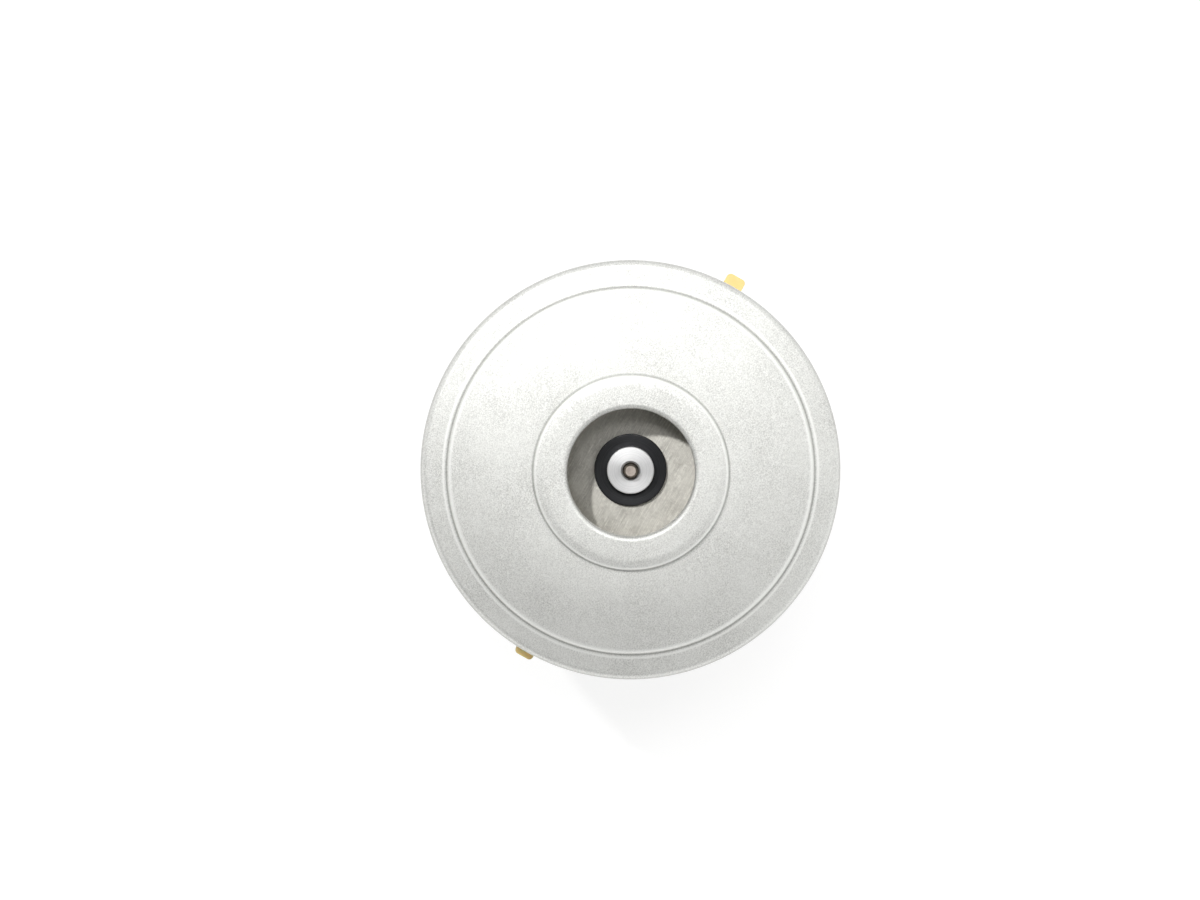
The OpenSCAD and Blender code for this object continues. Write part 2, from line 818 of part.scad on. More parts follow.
module diffuser() {
  hole_r = spacer_d / 2 + 2;
  boss_len = disc_z - bracket_top + eps;
  color(yellow)
    difference() {
      union() {
        tube(disc_r, hole_r, disc_z, diffuser_t);
        tube(hub_in_r + hub_wall, hub_in_r, bracket_top, boss_len);
        translate([0, 0, vane_z - eps])
          linear_extrude(disc_z - vane_z + 2 * eps) around(vane_count) vane_2d();
        tube(base_ring_r, base_ring_r - base_ring_w, bracket_top, base_ring_h);
        both_sides()
          block([base_ring_r - base_ring_w / 2, cover_r + lug_out], [-lug_w / 2, lug_w / 2],
            [bracket_top, bracket_top + lug_h]);
        around(3, diffuser_screw_angle)
          translate([diffuser_screw_r, 0, bracket_top]) cylinder(r = screw_boss_r, h = boss_len);
      }
      translate([0, 0, bracket_top - cut]) cylinder(r = hub_in_r, h = boss_len + cut - 2 * eps);
      around(3, diffuser_screw_angle)
        translate([diffuser_screw_r, 0, 0]) {
          screw_hole(diffuser_screw_d, bracket_top, disc_top - bracket_top);
          translate([0, 0, disc_top - screw_sink])
            cylinder(d = 2 * diffuser_screw_d * head_share + loose_gap, h = screw_sink + cut);
        }
    }
}

module diffuser_screws() {
  color(bright)
    around(3, diffuser_screw_angle)
      translate([diffuser_screw_r, 0, disc_top - screw_sink])
        screw(diffuser_screw_d, disc_top - screw_sink - bracket_z + 1, screw_sink);
}

bracket_path = rounded(
  [
    [bracket_r, bracket_z + bracket_rim_h], [bracket_r, bracket_z], [cup_r, bracket_z],
    [cup_r, cup_top], [cup_hole_d / 2, cup_top],
  ],
  [0, bracket_edge_r, cup_mouth_r, 0.4, 0]
);

module front_bracket() {
  color(steel)
    difference() {
      rotate_extrude() sheet(bracket_path, -bracket_t);
      translate([0, 0, bracket_z - cut])
        linear_extrude(bracket_t + 2 * cut)
          difference() {
            ring_2d(bracket_window_od / 2, bracket_window_id / 2);
            for (a = [45, 135]) rotate(a) square([2 * cover_d, spoke_w], center = true);
          }
      both_sides()
        block([base_ring_r, cover_r], [-lug_w / 2 - loose_gap, lug_w / 2 + loose_gap],
          [bracket_top, bracket_z + bracket_rim_h + cut]);
      around(4, 45)
        translate([frame_screw_r, 0, 0]) screw_hole(frame_screw_d, bracket_z, bracket_t);
      around(2, stator_screw_angle)
        translate([stator_screw_r, 0, 0]) screw_hole(stator_screw_d, bracket_z, bracket_t);
      around(3, diffuser_screw_angle)
        translate([diffuser_screw_r, 0, 0]) screw_hole(diffuser_screw_d, bracket_z, bracket_t);
    }
}

// Bearings

module track(z) {
  translate([0, 0, z + bearing_w / 2]) rotate_extrude() translate([pitch_r, 0]) circle(r = track_r);
}

module outer_ring(z) {
  edge = 0.4;
  r = bearing_od / 2;
  color(bright)
    difference() {
      rotate_extrude()
        translate([0, z])
          polygon([
            [outer_ring_r, 0], [r - edge, 0], [r, edge], [r, bearing_w - edge], [r - edge, bearing_w],
            [outer_ring_r, bearing_w],
          ]);
      track(z);
    }
}

module inner_ring(z) {
  color(bright)
    difference() {
      tube(inner_ring_r, journal_r + press_gap, z, bearing_w);
      track(z);
    }
}

module balls(z) {
  color(bright)
    around(ball_count) translate([pitch_r, 0, z + bearing_w / 2]) sphere(d = ball_d);
}

module cage(z) {
  mid = z + bearing_w / 2;
  half_w = 0.65;
  rim = 0.4;
  rim_z = mid + ball_d / 2 + ball_gap;
  color(brass) {
    difference() {
      tube(pitch_r + half_w, pitch_r - half_w, mid - ball_d / 4, rim_z + eps - mid + ball_d / 4);
      around(ball_count) translate([pitch_r, 0, mid]) sphere(r = track_r);
    }
    tube(pitch_r + half_w, pitch_r - half_w, rim_z, rim);
  }
}

module shields(z) {
  color(steel)
    for (s = [z + shield_inset, z + bearing_w - shield_inset - shield_t])
      tube(outer_ring_r - press_gap, inner_ring_r + loose_gap, s, shield_t);
}

module front_bearing_outer_ring() outer_ring(front_bearing_z);
module front_bearing_inner_ring() inner_ring(front_bearing_z);
module front_bearing_balls() balls(front_bearing_z);
module front_bearing_cage() cage(front_bearing_z);
module front_bearing_shields() shields(front_bearing_z);
module rear_bearing_outer_ring() outer_ring(rear_bearing_z);
module rear_bearing_inner_ring() inner_ring(rear_bearing_z);
module rear_bearing_balls() balls(rear_bearing_z);
module rear_bearing_cage() cage(rear_bearing_z);
module rear_bearing_shields() shields(rear_bearing_z);

// Wave spring between the rear boss and the bearing's outer ring
module preload_washer() {
  steps = 48;
  outer = bearing_od / 2 - loose_gap;
  inner = outer_ring_r;
  middle = frame_t + preload_h / 2;
  swing = (preload_h - preload_t) / 2 - press_gap;
  corner = [[outer, 0], [outer, preload_t], [inner, preload_t], [inner, 0]];
  points = [
    for (i = [0:steps - 1], c = corner)
      let (a = i * 360 / steps)
      [c.x * cos(a), c.x * sin(a), middle - preload_t / 2 + c.y + swing * cos(wave_count * a)]
  ];
  faces = [
    for (i = [0:steps - 1], k = [0:3])
      let (
        a = i * 4 + k,
        b = i * 4 + (k + 1) % 4,
        c = (i + 1) % steps * 4 + (k + 1) % 4,
        d = (i + 1) % steps * 4 + k
      )
      each [[a, b, c], [a, c, d]]
  ];
  color(steel) polyhedron(points, faces);
}

// Rear frame

frame_path = rounded(
  [
    [flange_r, bracket_z - frame_t], [frame_r, bracket_z - frame_t], [frame_r, boss_h],
    [boss_r, boss_h], [boss_r, 0], [0, 0],
  ],
  [0, frame_bend_r, frame_corner_r, frame_bend_r, frame_bend_r, 0]
);

module side_window(w, low) {
  translate([0, 0, (low + window_top) / 2])
    rotate([90, 0, 90])
      linear_extrude(2 * frame_r) rounded_rect(w, window_top - low, window_r);
}

// Kidney-shaped vent: two long arcs about the shaft, joined by half rounds
vent_steps = 10;
function arc(centre, r, from, to) = [
  for (i = [0:vent_steps - 1])
    let (angle = from + (to - from) * i / vent_steps)
    centre + r * [cos(angle), sin(angle)]
];
function vent_end(angle) = vent_mid_r * [cos(angle), sin(angle)];
module floor_vent_2d() {
  half = vent_w / 2;
  polygon(concat(
    arc([0, 0], vent_mid_r + half, -vent_angle, vent_angle),
    arc(vent_end(vent_angle), half, vent_angle, vent_angle + 180),
    arc([0, 0], vent_mid_r - half, vent_angle, -vent_angle),
    arc(vent_end(-vent_angle), half, 180 - vent_angle, 360 - vent_angle)
  ));
}

module rear_frame() {
  color(steel)
    difference() {
      rotate_extrude() sheet(frame_path, -frame_t);
      both_sides() side_window(brush_window_w, holder_low - loose_gap);
      rotate(90) both_sides() side_window(exhaust_w, floor_top + sill_h);
      translate([0, 0, boss_h - cut])
        linear_extrude(frame_t + 2 * cut) rotate(90) both_sides() floor_vent_2d();
      around(4, 45)
        translate([frame_screw_r, 0, 0]) screw_hole(frame_screw_d, bracket_z - frame_t, frame_t);
      both_sides()
        for (s = [-1, 1])
          translate([holder_screw_x, s * holder_screw_y, 0]) screw_hole(holder_screw_d, boss_h, frame_t);
    }
}

module frame_screws() {
  color(bright)
    around(4, 45)
      translate([frame_screw_r, 0, bracket_z - frame_t])
        mirror([0, 0, 1]) screw(frame_screw_d, frame_t + bracket_t + 1, frame_screw_d * 0.6);
}

// Armature and commutator

slot_wide_at = core_r - mouth_depth - slot_wide_r;
slot_narrow_at = slot_wide_at - slot_depth + slot_wide_r + slot_narrow_r;
module slot_2d(inset) {
  wide = slot_wide_r - inset;
  narrow = slot_narrow_r - inset;
  translate([slot_wide_at, 0]) circle(r = wide);
  translate([slot_narrow_at, 0]) circle(r = narrow);
  polygon([
    [slot_narrow_at, -narrow], [slot_wide_at, -wide], [slot_wide_at, wide], [slot_narrow_at, narrow],
  ]);
}

module core_2d() {
  difference() {
    circle(r = core_r);
    circle(r = shaft_r + press_gap);
    around(slot_count) {
      slot_2d(0);
      translate([slot_wide_at, -slot_mouth / 2]) square([core_r, slot_mouth]);
    }
  }
}

module armature_core() {
  color(lamination) translate([0, 0, core_z]) linear_extrude(core_len) core_2d();
}

module armature_insulator(z) {
  color(ivory)
    translate([0, 0, z])
      linear_extrude(insulator_t)
        difference() {
          circle(r = core_r - loose_gap);
          circle(r = shaft_r + press_gap);
          around(slot_count) {
            slot_2d(0);
            translate([slot_wide_at, -slot_mouth / 2]) square([core_r, slot_mouth]);
          }
        }
}
module upper_armature_insulator() armature_insulator(core_top);
module lower_armature_insulator() armature_insulator(core_z - insulator_t);

winding_bore_gap = 1.5;
module winding_head_ring() {
  edge = 2.4;
  inner = shaft_r + winding_bore_gap;
  outer = slot_wide_at + slot_wide_r - 3 * liner_t;
  rotate_extrude()
    polygon(rounded(
      [[inner, 0], [outer, 0], [outer, winding_head], [inner, winding_head], [inner, edge / 2]],
      [0, 0, edge, edge, 0]
    ));
}

module armature_winding() {
  grip = 1.5;
  color(copper) {
    translate([0, 0, core_z - insulator_t - grip])
      linear_extrude(core_len + 2 * insulator_t + 2 * grip) around(slot_count) slot_2d(liner_t);
    translate([0, 0, core_top + insulator_t]) winding_head_ring();
    translate([0, 0, core_z - insulator_t]) mirror([0, 0, 1]) winding_head_ring();
  }
}

module slot_wedges() {
  side = 0.1;
  start = slot_wide_at + slot_wide_r + side;
  color(ivory)
    around(slot_count)
      block([start, core_r - loose_gap], [-slot_mouth / 2 + side, slot_mouth / 2 - side],
        [core_z, core_top]);
}

module commutator_bars() {
  bar_in = comm_r - bar_t;
  color(copper)
    difference() {
      union() {
        tube(comm_r, bar_in, comm_z, comm_len);
        tube(comm_r + hook_out, comm_r - eps, comm_z + comm_len - hook_h, hook_h);
      }
      around(slot_count)
        block([bar_in - cut, comm_r + hook_out + cut], [-bar_slit / 2, bar_slit / 2],
          [comm_z - cut, comm_z + comm_len + cut]);
    }
}

module commutator_hub() {
  proud = 1;
  color(dark)
    tube(comm_r - bar_t - press_gap, shaft_r + press_gap, comm_z - proud, comm_len + 2 * proud);
}

// Stator

module slots_2d() {
  difference() {
    union() {
      ring_2d(slot_out_r, slot_in_r);
      intersection() {
        ring_2d(slot_in_r + eps, bore_r - cut);
        union() {
          wedge_2d(-tip_gap, tip_gap, stator_d);
          rotate(180) wedge_2d(-tip_gap, tip_gap, stator_d);
        }
      }
    }
    square([pole_w, 2 * stator_d], center = true);
  }
}

module stator_core() {
  color(lamination)
    translate([0, 0, core_z])
      linear_extrude(core_len)
        difference() {
          intersection() {
            circle(r = stator_r);
            square([stator_flats, 2 * stator_d], center = true);
          }
          circle(r = bore_r);
          slots_2d();
          around(2, stator_screw_angle)
            translate([stator_screw_r, 0]) circle(d = stator_screw_d + 2 * press_gap);
        }
}

module field_coil() {
  color(copper)
    difference() {
      translate([0, 0, core_z - coil_head])
        linear_extrude(core_len + 2 * coil_head)
          intersection() {
            ring_2d(coil_out_r, coil_in_r);
            translate([-stator_d, coil_split / 2]) square(2 * stator_d);
          }
      block(
        [-pole_w / 2 - coil_gap, pole_w / 2 + coil_gap], [0, stator_r],
        [core_z - coil_frame_t - press_gap, core_top + coil_frame_t + press_gap]
      );
    }
}
module field_coil_a() field_coil();
module field_coil_b() rotate(180) field_coil();

// Insulating frame on one end of the stator core; its guard walls hold the coil heads
module coil_frame() {
  rim = 1.2;
  color(ivory) {
    linear_extrude(coil_frame_t)
      difference() {
        ring_2d(slot_out_r + rim, bore_r + loose_gap);
        slots_2d();
        around(2, stator_screw_angle) translate([stator_screw_r, 0]) circle(r = screw_head_r + loose_gap);
      }
    rotate(90)
      both_sides()
        linear_extrude(coil_head)
          intersection() {
            union() {
              ring_2d(coil_out_r + coil_gap / 2 + guard_t, coil_out_r + coil_gap / 2);
              ring_2d(coil_in_r - coil_gap / 2, coil_in_r - coil_gap / 2 - guard_t);
            }
            wedge_2d(-guard_angle, guard_angle, stator_d);
          }
  }
}

// The lower frame also carries the two supply terminals, on ledges beside its outer guard walls
ledge_y = coil_out_r + coil_gap / 2;
ledge_wall_gap = 1.6;
ledge_cheek = 1.5;
supply_rise = 1.8;
ledge_end = frame_in_r - ledge_wall_gap;
ledge_w = spade_w + 2 * ledge_cheek;
supply_z = core_z - coil_head + supply_rise;
module upper_coil_frame() translate([0, 0, core_top]) coil_frame();
module lower_coil_frame() {
  translate([0, 0, core_z]) mirror([0, 0, 1]) coil_frame();
  color(ivory)
    rotate(90)
      both_sides()
        difference() {
          block([ledge_y + guard_t / 2, ledge_end], [-ledge_w / 2, ledge_w / 2],
            [core_z - coil_head, core_z - coil_frame_t]);
          block([ledge_y + guard_t + press_gap, ledge_end + cut],
            [-spade_w / 2 - press_gap, spade_w / 2 + press_gap],
            [supply_z - spade_t / 2 - press_gap, supply_z + spade_t / 2 + press_gap]);
        }
}

module supply_terminal() {
  start = ledge_y + guard_t + press_gap * 2;
  color(brass) rotate(90) translate([start, 0, supply_z]) spade(ledge_end - start + spade_l);
}
module supply_terminal_a() supply_terminal();
module supply_terminal_b() rotate(180) supply_terminal();

module stator_screws() {
  color(bright)
    around(2, stator_screw_angle)
      translate([stator_screw_r, 0, core_z])
        mirror([0, 0, 1]) screw(stator_screw_d, bracket_top - core_z, stator_screw_d * 0.6);
}

module stator_spacers() {
  color(steel)
    around(2, stator_screw_angle)
      translate([stator_screw_r, 0, 0])
        tube(stator_spacer_d / 2, stator_screw_d / 2 + press_gap, core_top, bracket_z - core_top);
}

// Brush gear, drawn on the +X side

module brush_holder() {
  color(yellow)
    difference() {
      union() {
        block([holder_start, holder_end], [-holder_w / 2, holder_w / 2], [holder_low, holder_top]);
        block([holder_start, holder_foot_end], [-holder_w / 2, holder_w / 2],
          [floor_top, holder_low + eps]);
        block([holder_screw_x - ear_l / 2, holder_screw_x + ear_l / 2],
          [-holder_screw_y - ear_w / 2, holder_screw_y + ear_w / 2], [floor_top, floor_top + ear_t]);
      }
      block([holder_start - cut, tube_end], [-holder_in_w / 2, holder_in_w / 2],
        [brush_z - holder_in_h / 2, brush_z + holder_in_h / 2]);
      block([tube_end - eps, holder_end + cut], [-holder_in_w / 2, holder_in_w / 2],
        [brush_z - holder_in_h / 2, holder_top + cut]);
      for (s = [-1, 1])
        translate([holder_screw_x, s * holder_screw_y, 0]) screw_hole(holder_screw_d, floor_top, ear_t);
    }
}
module brush_holder_a() brush_holder();
module brush_holder_b() rotate(180) brush_holder();

module brush_tube() {
  color(brass)
    difference() {
      block([tube_start, tube_end], [-tube_w / 2, tube_w / 2],
        [brush_z - tube_h / 2, brush_z + tube_h / 2]);
      block([tube_start - cut, tube_end + cut], [-channel_w / 2, channel_w / 2],
        [brush_z - channel_h / 2, brush_z + channel_h / 2]);
    }
}
module brush_tube_a() brush_tube();
module brush_tube_b() rotate(180) brush_tube();

module carbon_brush() {
  color(dark)
    difference() {
      block([0, brush_end], [-brush_w / 2, brush_w / 2], [brush_z - brush_h / 2, brush_z + brush_h / 2]);
      translate([0, 0, brush_z - brush_h]) cylinder(r = brush_tip, h = 2 * brush_h);
    }
}
module carbon_brush_a() carbon_brush();
module carbon_brush_b() rotate(180) carbon_brush();

// Coil spring between the brush and its terminal; both ends run straight along the tube
spring_r = (spring_d - spring_wire) / 2;
spring_steps = 8;
spring_from = brush_end + press_gap;
spring_to = tube_end - press_gap;
spring_run = spring_to - spring_from - 2 * spring_wire;
spring_path = concat(
  [[spring_from, spring_r, brush_z]],
  [for (i = [0:spring_turns * spring_steps])
    let (a = i * 360 / spring_steps)
    [
      spring_from + spring_wire + spring_run * i / (spring_turns * spring_steps),
      spring_r * cos(a),
      brush_z + spring_r * sin(a),
    ]],
  [[spring_to, spring_r, brush_z]]
);
spring_least_gap = min([
  for (i = [0:len(spring_path) - 1 - spring_steps / 2], j = [i + spring_steps / 2:1:len(spring_path) - 1])
    norm(spring_path[i] - spring_path[j])
]) - spring_wire;
echo(spring_least_gap = spring_least_gap);

module brush_spring() {
  color(steel) wire(spring_path, spring_wire, 6, [0.3, 0.05, 1]);
}
module brush_spring_a() brush_spring();
module brush_spring_b() rotate(180) brush_spring();

module brush_pigtail() {
  steps = 8;
  sway = spring_r - spring_wire / 2 - pigtail_d / 2 - 2 * loose_gap;
  run = tube_end - brush_end - 2 * press_gap - 2 * pigtail_end;
  path = concat(
    [[brush_end + press_gap, 0, brush_z]],
    [
      for (i = [0:steps])
        [brush_end + press_gap + pigtail_end + run * i / steps, 0, brush_z + sway * sin(360 * i / steps)]
    ],
    [[tube_end - press_gap, 0, brush_z]]
  );
  color(copper) wire(path, pigtail_d, 8, [0, 1, 0]);
}
module brush_pigtail_a() brush_pigtail();
module brush_pigtail_b() rotate(180) brush_pigtail();

module brush_terminal() {
  color(brass) {
    block([tube_end, tube_end + spade_t], [-tube_w / 2, tube_w / 2],
      [brush_z - tube_h / 2, brush_z + tube_h / 2]);
    block([tube_end, tube_end + spade_t], [-tab_w / 2, tab_w / 2], [brush_z, tab_top]);
    translate([tube_end + eps, 0, brush_z]) spade(spade_l + spade_t);
  }
}
module brush_terminal_a() brush_terminal();
module brush_terminal_b() rotate(180) brush_terminal();

module brush_screws() {
  color(bright)
    both_sides()
      for (s = [-1, 1])
        translate([holder_screw_x, s * holder_screw_y, floor_top + ear_t])
          screw(holder_screw_d, ear_t + frame_t + 1.5, holder_screw_d * 0.6);
}

module coil_lead() {
  color(ivory) wire(lead_route, lead_d, 8, [0, 1, 0.2]);
}
module coil_lead_a() coil_lead();
module coil_lead_b() rotate(180) coil_lead();

fan_cover();
impeller_front_plate();
impeller_back_plate();
impeller_blades();
impeller_spacer();
clamp_washer();
fan_nut();
shaft();
diffuser();
diffuser_screws();
front_bracket();
front_bearing_outer_ring();
front_bearing_inner_ring();
front_bearing_balls();
front_bearing_cage();
front_bearing_shields();
rear_frame();
frame_screws();
rear_bearing_outer_ring();
rear_bearing_inner_ring();
rear_bearing_balls();
rear_bearing_cage();
rear_bearing_shields();
preload_washer();
armature_core();
armature_winding();
slot_wedges();
upper_armature_insulator();
lower_armature_insulator();
commutator_bars();
commutator_hub();
stator_core();
field_coil_a();
field_coil_b();
upper_coil_frame();
lower_coil_frame();
stator_screws();
stator_spacers();
brush_holder_a();
brush_holder_b();
brush_tube_a();
brush_tube_b();
carbon_brush_a();
carbon_brush_b();
brush_spring_a();
brush_spring_b();
brush_pigtail_a();
brush_pigtail_b();
brush_terminal_a();
brush_terminal_b();
brush_screws();
coil_lead_a();
coil_lead_b();
supply_terminal_a();
supply_terminal_b();
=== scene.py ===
"""Looks of the vacuum motor unit: finishes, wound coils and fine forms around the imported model.

Lengths are in millimetres until a mesh is made, and in metres after that.
"""
import json
import math

import bmesh
import bpy
from mathutils import Matrix, Vector


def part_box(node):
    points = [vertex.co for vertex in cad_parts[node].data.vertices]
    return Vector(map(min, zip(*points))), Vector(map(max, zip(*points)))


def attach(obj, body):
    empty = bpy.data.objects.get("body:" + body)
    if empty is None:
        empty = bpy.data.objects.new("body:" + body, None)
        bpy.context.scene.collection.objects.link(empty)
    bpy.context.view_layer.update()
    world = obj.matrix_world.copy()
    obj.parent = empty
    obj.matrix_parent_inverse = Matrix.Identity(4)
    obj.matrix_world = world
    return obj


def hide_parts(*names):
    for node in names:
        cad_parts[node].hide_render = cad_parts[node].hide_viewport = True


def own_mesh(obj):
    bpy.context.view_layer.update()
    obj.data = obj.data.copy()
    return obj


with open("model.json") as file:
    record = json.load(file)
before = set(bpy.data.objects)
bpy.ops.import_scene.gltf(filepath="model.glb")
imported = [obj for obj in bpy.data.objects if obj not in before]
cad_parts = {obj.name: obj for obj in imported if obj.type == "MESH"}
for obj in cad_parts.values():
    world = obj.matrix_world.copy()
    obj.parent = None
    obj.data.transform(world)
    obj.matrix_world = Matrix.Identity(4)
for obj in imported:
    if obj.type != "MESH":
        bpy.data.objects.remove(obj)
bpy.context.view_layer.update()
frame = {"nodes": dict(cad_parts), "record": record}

MM = 0.001
SLOT_OF = {row["node"]: row["material_slot"] for row in frame["record"]["subparts"]}
BODY_OF = {n: body for body, group in frame["record"]["behaviour"]["bodies"].items() for n in group}

# Camera: where the photograph shows the rim's centre and the part's X axis, and its scale at the rim
PHOTO_W = 1200
PHOTO_H = 900
RIM_CENTRE_PX = (630.6, 470.5)
MM_PER_PX = 0.3095
RIM_HEIGHT = 100.9
X_AXIS_DEG = 60.4
CAMERA_DISTANCE = 900
TILT_UP_DEG = 3.08
TILT_LEFT_DEG = 0.74
SENSOR_W = 36.0
CLIP_NEAR, CLIP_FAR = 0.01, 50

x_axis = math.radians(X_AXIS_DEG)
PICTURE_RIGHT = Vector((math.cos(x_axis), -math.sin(x_axis), 0))
PICTURE_UP = Vector((math.sin(x_axis), math.cos(x_axis), 0))
UPWARD = Vector((0, 0, 1))


def place_camera():
    data = bpy.data.cameras.new("camera")
    data.sensor_width = SENSOR_W
    data.lens = SENSOR_W * CAMERA_DISTANCE / (PHOTO_W * MM_PER_PX)
    data.shift_x = (PHOTO_W / 2 - RIM_CENTRE_PX[0]) / PHOTO_W
    data.shift_y = (RIM_CENTRE_PX[1] - PHOTO_H / 2) / PHOTO_W
    data.clip_start = CLIP_NEAR
    data.clip_end = CLIP_FAR
    away = UPWARD + PICTURE_UP * math.tan(math.radians(TILT_UP_DEG))
    away -= PICTURE_RIGHT * math.tan(math.radians(TILT_LEFT_DEG))
    away.normalize()
    up = (PICTURE_UP - away * PICTURE_UP.dot(away)).normalized()
    camera = bpy.data.objects.new("camera", data)
    bpy.context.scene.collection.objects.link(camera)
    axes = Matrix((up.cross(away), up, away)).transposed().to_4x4()
    at = UPWARD * RIM_HEIGHT * MM + away * CAMERA_DISTANCE * MM
    camera.matrix_world = Matrix.Translation(at) @ axes
    bpy.context.scene.camera = camera


place_camera()


# Meshes; the welding distance is in metres

WELD = 2e-6
SMOOTH_DEG = 35
FLAT_DEG = 0.5
FLAT_WEIGHT = 100
EDGE_LEAST_DEG = 40
EDGE_STEPS = 2
CORNER_R = 1.3
CORNER_STEPS = 5


def mesh_piece(name, verts, faces):
    """A new mesh object from points in millimetres, welded and with its faces turned outwards."""
    bm = bmesh.new()
    made = [bm.verts.new((x * MM, y * MM, z * MM)) for x, y, z in verts]
    for face in faces:
        bm.faces.new([made[i] for i in face])
    return piece_from(name, bm)


def piece_from(name, bm):
    bmesh.ops.remove_doubles(bm, verts=bm.verts, dist=WELD)
    bmesh.ops.dissolve_degenerate(bm, edges=bm.edges, dist=WELD / 2)
    bmesh.ops.recalc_face_normals(bm, faces=bm.faces)
    mesh = bpy.data.meshes.new(name)
    bm.to_mesh(mesh)
    bm.free()
    mesh.shade_smooth()
    mesh.set_sharp_from_angle(angle=math.radians(SMOOTH_DEG))
    piece = bpy.data.objects.new(name, mesh)
    bpy.context.scene.collection.objects.link(piece)
    return piece


def stands_for(piece, *nodes):
    """piece takes the place, body and finish of CAD nodes."""
    piece.data.materials.clear()
    piece.data.materials.append(finish_of(SLOT_OF[nodes[0]]))
    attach(piece, BODY_OF[nodes[0]])
    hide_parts(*nodes)
    return piece


def broken(bm, edges, width, segments):
    """Rounds edges of a mesh, width millimetres to each side."""
    bmesh.ops.bevel(
        bm, geom=edges, offset=width * MM, offset_type="OFFSET", segments=segments,
        profile=0.5, affect="EDGES", clamp_overlap=True,
    )


def softened(node, width, round_beyond=None):
    """A copy of a CAD node with its sharp edges rounded, width millimetres wide.

    Upright edges farther out than round_beyond get the wider rounding of a moulded corner first.
    """
    bm = bmesh.new()
    bm.from_mesh(frame["nodes"][node].data)
    bmesh.ops.remove_doubles(bm, verts=bm.verts, dist=WELD)
    bmesh.ops.dissolve_limit(bm, angle_limit=math.radians(FLAT_DEG), verts=bm.verts, edges=bm.edges)
    if round_beyond:
        upright = []
        for e in bm.edges:
            a, b = (v.co for v in e.verts)
            if (a - b).xy.length < WELD and a.xy.length > round_beyond * MM:
                upright.append(e)
        broken(bm, upright, CORNER_R, CORNER_STEPS)
    if width:
        least = math.radians(EDGE_LEAST_DEG)
        shared = [e for e in bm.edges if len(e.link_faces) == 2]
        broken(bm, [e for e in shared if e.calc_face_angle() > least], width, EDGE_STEPS)
    piece = piece_from(f"{node}_form", bm)
    normals = piece.modifiers.new("flat_faces_first", "WEIGHTED_NORMAL")
    normals.keep_sharp = True
    normals.weight = FLAT_WEIGHT
    return stands_for(piece, node)


def turned(name, profile, segments=160):
    """A solid of revolution about the shaft, from a closed outline of (radius, height)."""
    n = len(profile)
    verts = []
    for s in range(segments):
        angle = 2 * math.pi * s / segments
        verts += [(r * math.cos(angle), r * math.sin(angle), z) for r, z in profile]
    faces = []
    for s in range(segments):
        a, b = s * n, (s + 1) % segments * n
        faces += [(a + i, b + i, b + (i + 1) % n, a + (i + 1) % n) for i in range(n)]
    return mesh_piece(name, verts, faces)


def unit(v):
    length = math.hypot(*v)
    return (v[0] / length, v[1] / length)


def rounded(corners, radii, steps=10):
    """An outline through corners, each with its own bend radius; 0 keeps the corner sharp."""
    path = []
    n = len(corners)
    for i, (corner, radius) in enumerate(zip(corners, radii)):
        if radius == 0:
            path.append(corner)
            continue
        u = unit([a - b for a, b in zip(corners[i - 1], corner)])
        v = unit([a - b for a, b in zip(corners[(i + 1) % n], corner)])
        half = math.acos(max(-1.0, min(1.0, u[0] * v[0] + u[1] * v[1]))) / 2
        mid = unit((u[0] + v[0], u[1] + v[1]))
        centre = [corner[k] + mid[k] * radius / math.sin(half) for k in (0, 1)]
        first = [corner[k] + u[k] * radius / math.tan(half) - centre[k] for k in (0, 1)]
        start = math.atan2(first[1], first[0])
        side = math.copysign(1, v[0] * u[1] - u[0] * v[1])
        sweep = side * (math.pi - 2 * half)
        for k in range(steps + 1):
            angle = start + sweep * k / steps
            path.append((centre[0] + radius * math.cos(angle), centre[1] + radius * math.sin(angle)))
    return path


def beside(path, t):
    """The path shifted to its left by t, as the other face of a bent sheet."""
    shifted = []
    for i, (x, y) in enumerate(path):
        a, b = path[max(i - 1, 0)], path[min(i + 1, len(path) - 1)]
        before = unit((x - a[0], y - a[1])) if i else unit((b[0] - x, b[1] - y))
        after = unit((b[0] - x, b[1] - y)) if i < len(path) - 1 else before
        n0, n1 = (-before[1], before[0]), (-after[1], after[0])
        n = unit((n0[0] + n1[0], n0[1] + n1[1]))
        reach = t / (n[0] * n0[0] + n[1] * n0[1])
        shifted.append((x + n[0] * reach, y + n[1] * reach))
    return shifted


def tube(points, radius, sides):
    """Points and faces of a round wire along a path."""
    points = [Vector(p) for p in points]
    n = len(points)
    verts, faces = [], []
    across = None
    for i, p in enumerate(points):
        ahead = points[min(i + 1, n - 1)] - points[max(i - 1, 0)]
        ahead.normalize()
        if across is None:
            across = ahead.orthogonal()
        across = (across - ahead * across.dot(ahead)).normalized()
        other = ahead.cross(across)
        for k in range(sides):
            angle = 2 * math.pi * k / sides
            verts.append(p + (across * math.cos(angle) + other * math.sin(angle)) * radius)
    for i in range(n - 1):
        a, b = i * sides, (i + 1) * sides
        faces += [(a + k, a + (k + 1) % sides, b + (k + 1) % sides, b + k) for k in range(sides)]
    faces.append(tuple(range(sides)))
    faces.append(tuple((n - 1) * sides + k for k in range(sides)))
    return verts, faces


class Bundle:
    """Several shapes gathered into one mesh."""

    def __init__(self):
        self.verts = []
        self.faces = []

    def add(self, shape):
        verts, faces = shape
        base = len(self.verts)
        self.verts += verts
        self.faces += [tuple(base + i for i in face) for face in faces]

    def piece(self, name):
        return mesh_piece(name, self.verts, self.faces)


